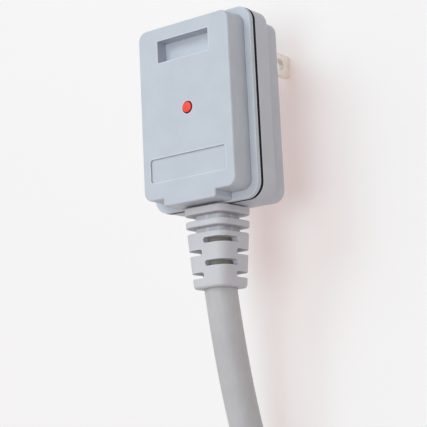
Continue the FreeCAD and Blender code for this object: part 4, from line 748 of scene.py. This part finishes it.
@dataclass
class Wiring:
    """Sheath in the strain relief, the two insulated cores at both ends, and bared strands."""

    core_diameter: float = 3.2
    sheath_diameter: float = 8.4
    level: float = 9.25
    offset: float = 1.9
    sheath_start: float = -32.6
    sheath_end: float = -61.4
    arc_steps: int = 5
    overlap: float = 0.4
    root_length: float = 0.9
    barrel_mouth: float = -29.7
    strand_end: float = -25.9
    strand_radius: float = 0.24
    strand_twist: float = 0.22
    strand_rings: tuple[tuple[int, float], ...] = ((1, 0.0), (6, 2.02), (12, 3.98))
    far_end: tuple[float, float, float] = (131.0, -107.0, -12.5)
    far_before: tuple[float, float, float] = (127.0, -116.6, -12.5)

    def white_route(self) -> list[Vector]:
        """Return the neutral core's way round the thermostat to its lug."""
        bends = [(-self.offset, self.sheath_start), (-self.offset, -29.6), (-6.6, -26.4),
                 (-10.6, -20.5), (-11.0, -13.0), (-9.8, -6.4), (-8.0, -4.6)]
        return [mm(across, along, self.level) for across, along in bends]

    def far_route(self, side: float) -> list[Vector]:
        """Return one core's way from the lead's far end to its terminal.

        Args:
            side: 1 for the black core, -1 for the white one.

        Returns:
            Points that spread and droop to the ground.
        """
        end = mm(*self.far_end)
        way = (end - mm(*self.far_before)).normalized()
        aside = Vector((way.y, -way.x, 0.0)) * side
        start = end + aside * self.offset * MM
        drop = mm(0.0, 0.0, -2.1)
        return [start, start + way * 7.0 * MM, start + (way * 15.0 + aside * 2.2) * MM + drop,
                start + (way * 23.0 + aside * 3.2) * MM + drop]

    def tube(self, name: str, route: list[Vector], diameter: float, finishes: Finishes,
             finish: str, node: str | None = None) -> bpy.types.Object:
        """Run a round wire along a smooth line and stand it in for its CAD solid.

        Args:
            name: Name of the piece.
            route: Control points of the line.
            diameter: Diameter in millimetres.
            finishes: Finishes of the plug.
            finish: Finish that it wears.
            node: CAD node that it replaces, if any.

        Returns:
            A mesh piece that rides on the plug.
        """
        line = round_line(name, route, diameter, self.arc_steps)
        mesh = frozen(line)
        bpy.data.objects.remove(line)
        wire = linked(name, mesh)
        finishes.dress(wire, finish)
        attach(wire, Body.PLUG.value)
        if node:
            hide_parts(node)
        return wire

    def strands(self, finishes: Finishes) -> None:
        """Twist nineteen bared wires into the crimp barrel.

        Args:
            finishes: Finishes of the plug.
        """
        draw = Pattern("strand_pattern", finishes.made["strands"],
                       Thickness=self.strand_radius * MM, Twist=self.strand_twist,
                       Reach=(self.strand_end - self.barrel_mouth) * MM)
        given = draw.given
        round_wire = draw.add("GeometryNodeCurvePrimitiveCircle",
                              {"Resolution": 8, "Radius": given["Thickness"]}).outputs[0]
        rings = []
        for count, spread in self.strand_rings:
            reach = draw.math("MULTIPLY", given["Thickness"], spread)
            wire = draw.wound(round_wire, given["Twist"], reach, given["Reach"], 16)
            spots = draw.add("GeometryNodeMeshLine", {
                "Count": count, "Offset": (0.0, 0.0, 0.0)}).outputs[0]
            number = draw.add("GeometryNodeInputIndex").outputs[0]
            turned = draw.add("ShaderNodeCombineXYZ", {
                "Z": draw.math("MULTIPLY", number, FULL_TURN / count)}).outputs[0]
            rings.append(draw.add("GeometryNodeInstanceOnPoints", {
                "Points": spots, "Instance": wire, "Rotation": turned}).outputs[0])
        bundle = draw.add("GeometryNodeJoinGeometry")
        draw.feed(bundle.inputs[0], rings[::-1])
        draw.close(draw.add("GeometryNodeTransform", {
            "Geometry": bundle.outputs[0], "Rotation": (-FULL_TURN / 4.0, 0.0, 0.0),
            "Translation": mm(self.offset, self.barrel_mouth, self.level)}).outputs[0])
        copper = draw.piece("bared_strands")
        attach(copper, Body.PLUG.value)
        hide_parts("black_strands")

    def build(self, finishes: Finishes) -> list[bpy.types.Object]:
        """Make every wire.

        Args:
            finishes: Finishes of the plug.

        Returns:
            The two cores at the far end, which go with the lead.
        """
        level, offset, core = self.level, self.offset, self.core_diameter
        seam = mm(0.0, self.sheath_end + self.overlap, level)
        # The sheath inside the strain relief wears the darker copy of its colour, painted shade for
        # the slots' depth
        self.tube("sheath_in_casing", [seam, mm(0.0, self.sheath_start, level)],
                  self.sheath_diameter, finishes, "sheath_in_slots", "sheath_entry")
        self.tube("lead_root",
                  [seam, mm(0.0, self.sheath_end - self.root_length, level - 0.05)],
                  self.sheath_diameter - 0.06, finishes, "sheath")
        self.tube("live_core", [mm(offset, self.sheath_start - 0.2, level),
                                mm(offset, self.barrel_mouth, level)],
                  core, finishes, "core_black", node="black_core")
        self.tube("neutral_core", self.white_route(), core, finishes, "core_white",
                  node="white_core")
        self.strands(finishes)
        far = [self.tube("far_live_core", self.far_route(1.0), core, finishes, "core_black",
                         node="far_black_core"),
               self.tube("far_neutral_core", self.far_route(-1.0), core, finishes, "core_white",
                         node="far_white_core")]
        LOG.info("wiring: sheath stub, four cores and the bared strands")
        return far


# Blades


@dataclass
class Blades:
    """Two flat blades with bevelled tips, a round hole each and a bent terminal tab."""

    offset: float = 6.35
    half_width: float = 3.15
    thickness: float = 1.5
    tip: float = -16.7
    tip_cut: float = 0.5
    tab_top: float = 7.1
    hole_level: float = -12.2
    hole_radius: float = 1.55
    tab_inner: float = 1.2
    tab_hole: tuple[float, float] = (3.4, 0.0)
    tab_hole_radius: float = 1.4
    edge: float = 0.14
    hole_steps: int = 40
    weld: float = 0.002
    crease: float = 40.0

    def sheet(self, outline: list[tuple[float, float]], hole: tuple[float, float],
              radius: float) -> bpy.types.Mesh:
        """Cut a plate with one round hole and rounded edges.

        Args:
            outline: Corners in the plate's own plane.
            hole: Middle of the hole.
            radius: Radius of the hole.

        Returns:
            A plate that is centred on its own plane.
        """
        data = bpy.data.curves.new("plate", "CURVE")
        data.dimensions = "2D"
        data.fill_mode = "BOTH"
        data.extrude = (self.thickness / 2.0 - self.edge) * MM
        data.bevel_depth = self.edge * MM
        data.bevel_resolution = 2
        data.offset = -self.edge * MM
        turns = [FULL_TURN * step / self.hole_steps for step in range(self.hole_steps)]
        circle = [(hole[0] + radius * math.cos(turn), hole[1] + radius * math.sin(turn))
                  for turn in turns]
        for corners in (outline, circle):
            spline = data.splines.new("POLY")
            spline.points.add(len(corners) - 1)
            spline.use_cyclic_u = True
            for point, (across, along) in zip(spline.points, corners):
                point.co = (across * MM, along * MM, 0.0, 1.0)
        flat = linked("plate", data)
        mesh = frozen(flat)
        bpy.data.objects.remove(flat)
        return mesh

    def build(self, finishes: Finishes) -> None:
        """Make both blades.

        Args:
            finishes: Finishes of the plug.
        """
        half, cut = self.half_width, self.tip_cut
        prong = self.sheet([(-half + cut, self.tip), (half - cut, self.tip), (half, self.tip + cut),
                            (half, self.tab_top), (-half, self.tab_top), (-half, self.tip + cut)],
                           (0.0, self.hole_level), self.hole_radius)
        outer = self.offset + self.thickness / 2.0 - self.edge
        tab = self.sheet([(self.tab_inner, -half), (outer, -half), (outer, half),
                          (self.tab_inner, half)], self.tab_hole, self.tab_hole_radius)
        upright = Matrix(((0.0, 0.0, 1.0), (1.0, 0.0, 0.0), (0.0, 1.0, 0.0))).to_4x4()
        for name, node, side in (("right_prong", "right_blade", 1.0),
                                 ("left_prong", "left_blade", -1.0)):
            shape = bmesh.new()
            stand = Matrix.Translation(mm(side * self.offset, 0.0, 0.0)) @ upright
            lay = Matrix.Translation(mm(0.0, 0.0, self.tab_top - self.thickness / 2.0))
            if side < 0.0:
                lay = lay @ Matrix.Rotation(math.pi, 4, "Z")
            for part, place in ((prong, stand), (tab, lay)):
                placed = part.copy()
                placed.transform(place)
                shape.from_mesh(placed)
                bpy.data.meshes.remove(placed)
            bmesh.ops.remove_doubles(shape, verts=shape.verts, dist=self.weld * MM)
            bmesh.ops.recalc_face_normals(shape, faces=shape.faces)
            mesh = bpy.data.meshes.new(name)
            shape.to_mesh(mesh)
            shape.free()
            mesh.shade_smooth()
            mesh.set_sharp_from_angle(angle=math.radians(self.crease))
            blade = linked(name, mesh)
            finishes.dress(blade, "blade_plate")
            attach(blade, Body.PLUG.value)
            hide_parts(node)
            LOG.info("%s: %d faces", name, len(mesh.polygons))


# Turned, repeated and wound pieces


@dataclass
class ResetButton:
    """Red button: rounded head in its hole, spring flange and slender foot, turned in one."""

    centre: tuple[float, float] = (0.75, -16.3)
    head_radius: float = 1.36
    head_round: float = 0.22
    flange_radius: float = 2.5
    flange_edge: float = 0.12
    foot_radius: float = 1.0
    foot_tip: float = 8.9
    flange_low: float = 13.0
    flange_high: float = 14.0
    top: float = 20.85
    steps: int = 64
    crease: float = 32.0

    def profile(self) -> list[tuple[float, float]]:
        """Return the radius and the level of each step, from the foot to the middle of the head."""
        edge, rounding = self.flange_edge, self.head_round
        low = [(0.0, self.foot_tip), (0.4, self.foot_tip), (self.foot_radius, self.foot_tip + 0.6),
               (self.foot_radius, self.flange_low)]
        flange = [(self.flange_radius - edge, self.flange_low),
                  (self.flange_radius, self.flange_low + edge),
                  (self.flange_radius, self.flange_high - edge),
                  (self.flange_radius - edge, self.flange_high)]
        quarter = [FULL_TURN / 4.0 * share / 5.0 for share in range(6)]
        head = [(self.head_radius, self.flange_high)]
        head += [(self.head_radius - rounding * (1.0 - math.cos(angle)),
                  self.top - rounding * (1.0 - math.sin(angle))) for angle in quarter]
        return low + flange + head + [(0.0, self.top)]

    def build(self, finishes: Finishes) -> None:
        """Turn the profile about the button's axis.

        Args:
            finishes: Finishes of the plug.
        """
        corners: list[Vector] = []
        rings: list[list[int]] = []
        for radius, level in self.profile():
            first = len(corners)
            turns = self.steps if radius else 1
            for step in range(turns):
                angle = FULL_TURN * step / turns
                corners.append(mm(self.centre[0] + radius * math.cos(angle),
                                  self.centre[1] + radius * math.sin(angle), level))
            rings.append(list(range(first, first + turns)))
        faces = []
        for under, over in zip(rings, rings[1:]):
            for step in range(self.steps):
                after = (step + 1) % self.steps
                face = [under[step % len(under)], under[after % len(under)],
                        over[after % len(over)], over[step % len(over)]]
                faces.append(list(dict.fromkeys(face)))
        mesh = bpy.data.meshes.new("turned_button")
        mesh.from_pydata(corners, [], faces)
        mesh.validate()
        mesh.shade_smooth()
        mesh.set_sharp_from_angle(angle=math.radians(self.crease))
        button = linked("turned_button", mesh)
        finishes.dress(button, "button_red")
        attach(button, Body.BUTTON.value)
        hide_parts("reset_button")
        LOG.info("reset button: %d steps round its axis", self.steps)


@dataclass
class ButtonSpring:
    """Light spring between the button's flange and the casing."""

    centre: tuple[float, float] = (0.75, -16.3)
    wire: float = 0.4
    diameter: float = 4.8
    turns: float = 3.0
    low: float = 14.0
    high: float = 18.0
    travel: float = 1.0

    def build(self, finishes: Finishes) -> None:
        """Wind the wire between its lower and upper seats.

        Args:
            finishes: Finishes of the plug.
        """
        draw = Pattern("spring_pattern", finishes.made["steel"], Wire=self.wire / 2.0 * MM,
                       Radius=(self.diameter - self.wire) / 2.0 * MM, Turns=self.turns,
                       Height=(self.high - self.low - self.wire) * MM)
        given = draw.given
        section = draw.add("GeometryNodeCurvePrimitiveCircle",
                           {"Resolution": 10, "Radius": given["Wire"]}).outputs[0]
        wound = draw.wound(section, given["Turns"], given["Radius"], given["Height"], 28)
        draw.close(draw.moved(wound, mm(*self.centre, self.low + self.wire / 2.0)))
        spring = draw.piece("return_spring")
        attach(spring, Body.PLUG.value)
        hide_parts("button_spring")
        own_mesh(spring)
        LOG.info("return spring: %.0f turns", self.turns)


@dataclass
class Gasket:
    """Black rubber bead squeezed out between the casings, open where the lead goes in."""

    rim: tuple[float, float] = (33.4, 49.4)
    middle: float = -16.0
    level: float = 12.125
    corner: float = 4.2
    bead: float = 1.2
    bead_round: float = 0.3
    proud: float = 0.08
    opening: float = 9.0
    crease: float = 50.0

    def build(self, finishes: Finishes) -> None:
        """Run the bead's section round the rim and cut the opening.

        Args:
            finishes: Finishes of the plug.
        """
        inset = self.bead / 2.0 - self.proud
        draw = Pattern("gasket_pattern", finishes.made["seal"], Bead=self.bead * MM,
                       Width=(self.rim[0] - 2.0 * inset) * MM,
                       Length=(self.rim[1] - 2.0 * inset) * MM,
                       Corner=(self.corner - inset) * MM, Opening=self.opening * MM)
        given = draw.given
        rim = draw.add("GeometryNodeCurvePrimitiveQuadrilateral",
                       {"Width": given["Width"], "Height": given["Length"]}).outputs[0]
        path = draw.add("GeometryNodeFilletCurve", {
            "Curve": rim, "Radius": given["Corner"], "Count": 12,
            "Limit Radius": True}, mode="POLY").outputs[0]
        square = draw.add("GeometryNodeCurvePrimitiveQuadrilateral",
                          {"Width": given["Bead"], "Height": given["Bead"]}).outputs[0]
        section = draw.add("GeometryNodeFilletCurve", {
            "Curve": square, "Radius": self.bead_round * MM, "Count": 3,
            "Limit Radius": True}, mode="POLY").outputs[0]
        ring = draw.add("GeometryNodeCurveToMesh",
                        {"Curve": path, "Profile Curve": section}).outputs[0]
        way = draw.add("ShaderNodeCombineXYZ", {
            "X": given["Opening"], "Y": draw.math("MULTIPLY", given["Bead"], 4.0),
            "Z": draw.math("MULTIPLY", given["Bead"], 3.0)}).outputs[0]
        block = draw.add("GeometryNodeMeshCube", {"Size": way}).outputs[0]
        cut = draw.add("GeometryNodeMeshBoolean", {"Mesh 1": ring},
                       operation="DIFFERENCE", solver="EXACT")
        draw.feed(cut.inputs[1], [draw.moved(block, mm(0.0, -self.rim[1] / 2.0, 0.0))])
        draw.close(draw.moved(cut.outputs[0], mm(0.0, self.middle, self.level)))
        gasket = draw.piece("gasket_bead")
        gasket.data.set_sharp_from_angle(angle=math.radians(self.crease))
        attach(gasket, Body.PLUG.value)
        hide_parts("casing_seal")
        LOG.info("gasket: %d faces", len(gasket.data.polygons))


@dataclass
class CasingScrews:
    """Four cross-recessed screws, let into the mating face, that hold the casings together."""

    across: float = 22.8
    along: tuple[float, float] = (-34.9, 2.9)
    head_radius: float = 2.0
    shank_radius: float = 1.1
    face: float = 1.5
    seat: float = 3.0
    tip: float = 15.0
    point: float = 0.8
    cross_length: float = 2.2
    cross_width: float = 0.5
    cross_depth: float = 0.7
    chamfer: float = 0.5
    chamfer_share: float = 0.72
    point_share: float = 0.25
    sides: int = 40
    crease: float = 35.0

    def build(self, finishes: Finishes) -> None:
        """Make one screw, cut its cross and set it at the four corners.

        Args:
            finishes: Finishes of the plug.
        """
        draw = Pattern("screw_pattern", finishes.made["steel"], Head=self.head_radius * MM,
                       Shank=self.shank_radius * MM, Across=self.across * MM,
                       Along=(self.along[1] - self.along[0]) * MM)
        given = draw.given

        def turned(radius: Socket, low: float, high: float, top: float,
                   bottom: float = 1.0) -> Socket:
            """Return a round step of the screw between two levels.

            Args:
                radius: Socket of its radius.
                low: Lower level in millimetres.
                high: Upper level in millimetres.
                top: Share of the radius at the upper level.
                bottom: Share of the radius at the lower level.

            Returns:
                The step's geometry.
            """
            cone = draw.add("GeometryNodeMeshCone", {
                "Vertices": self.sides, "Radius Top": draw.math("MULTIPLY", radius, top),
                "Radius Bottom": draw.math("MULTIPLY", radius, bottom),
                "Depth": (high - low) * MM}).outputs[0]
            return draw.moved(cone, mm(0.0, 0.0, low))

        rim = self.face + self.chamfer
        head = [turned(given["Head"], self.face, rim, 1.0, self.chamfer_share),
                turned(given["Head"], rim, self.seat, 1.0)]
        slots = []
        for size in ((self.cross_length, self.cross_width), (self.cross_width, self.cross_length)):
            bar = draw.add("GeometryNodeMeshCube",
                           {"Size": mm(*size, 2.0 * self.cross_depth)}).outputs[0]
            slots.append(draw.moved(bar, mm(0.0, 0.0, self.face)))
        body = head + [turned(given["Shank"], self.seat, self.tip - self.point, 1.0),
                       turned(given["Shank"], self.tip - self.point, self.tip, self.point_share)]
        whole = draw.add("GeometryNodeMeshBoolean", operation="UNION", solver="EXACT")
        draw.feed(whole.inputs[1], body[::-1])
        cut = draw.add("GeometryNodeMeshBoolean", {"Mesh 1": whole.outputs[0]},
                       operation="DIFFERENCE", solver="EXACT")
        draw.feed(cut.inputs[1], slots)
        corners = draw.add("GeometryNodeMeshGrid", {
            "Size X": given["Across"], "Size Y": given["Along"],
            "Vertices X": 2, "Vertices Y": 2}).outputs[0]
        placed = draw.moved(corners, mm(0.0, sum(self.along) / 2.0, 0.0))
        draw.close(draw.add("GeometryNodeInstanceOnPoints", {
            "Points": placed, "Instance": cut.outputs[0]}).outputs[0])
        screws = draw.piece("cross_screws")
        screws.data.shade_flat()
        screws.data.set_sharp_from_angle(angle=math.radians(self.crease))
        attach(screws, Body.PLUG.value)
        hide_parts("casing_screws")
        LOG.info("casing screws: %d faces", len(screws.data.polygons))


# Pieces that keep their CAD shape


def dress_nodes(finishes: Finishes) -> None:
    """Give every CAD node that stays in view its finish from the record's slots.

    Args:
        finishes: Finishes of the plug.
    """
    for row in frame["record"]["subparts"]:
        node = frame["nodes"][row["node"]]
        finishes.dress(node, row["material_slot"])
        LOG.info("node %s wears %s", row["node"], row["material_slot"])


def main() -> None:
    """Build the scene in order: studio and lead first, then the plug's own pieces."""
    logging.basicConfig(level=logging.INFO, format="%(message)s")
    finishes = Finishes()
    Studio().build()
    lead = Lead()
    curve = lead.build(finishes)
    dress_nodes(finishes)
    far_cores = Wiring().build(finishes)
    Blades().build(finishes)
    ResetButton().build(finishes)
    ButtonSpring().build(finishes)
    Gasket().build(finishes)
    CasingScrews().build(finishes)


if __name__ == "__main__":
    main()
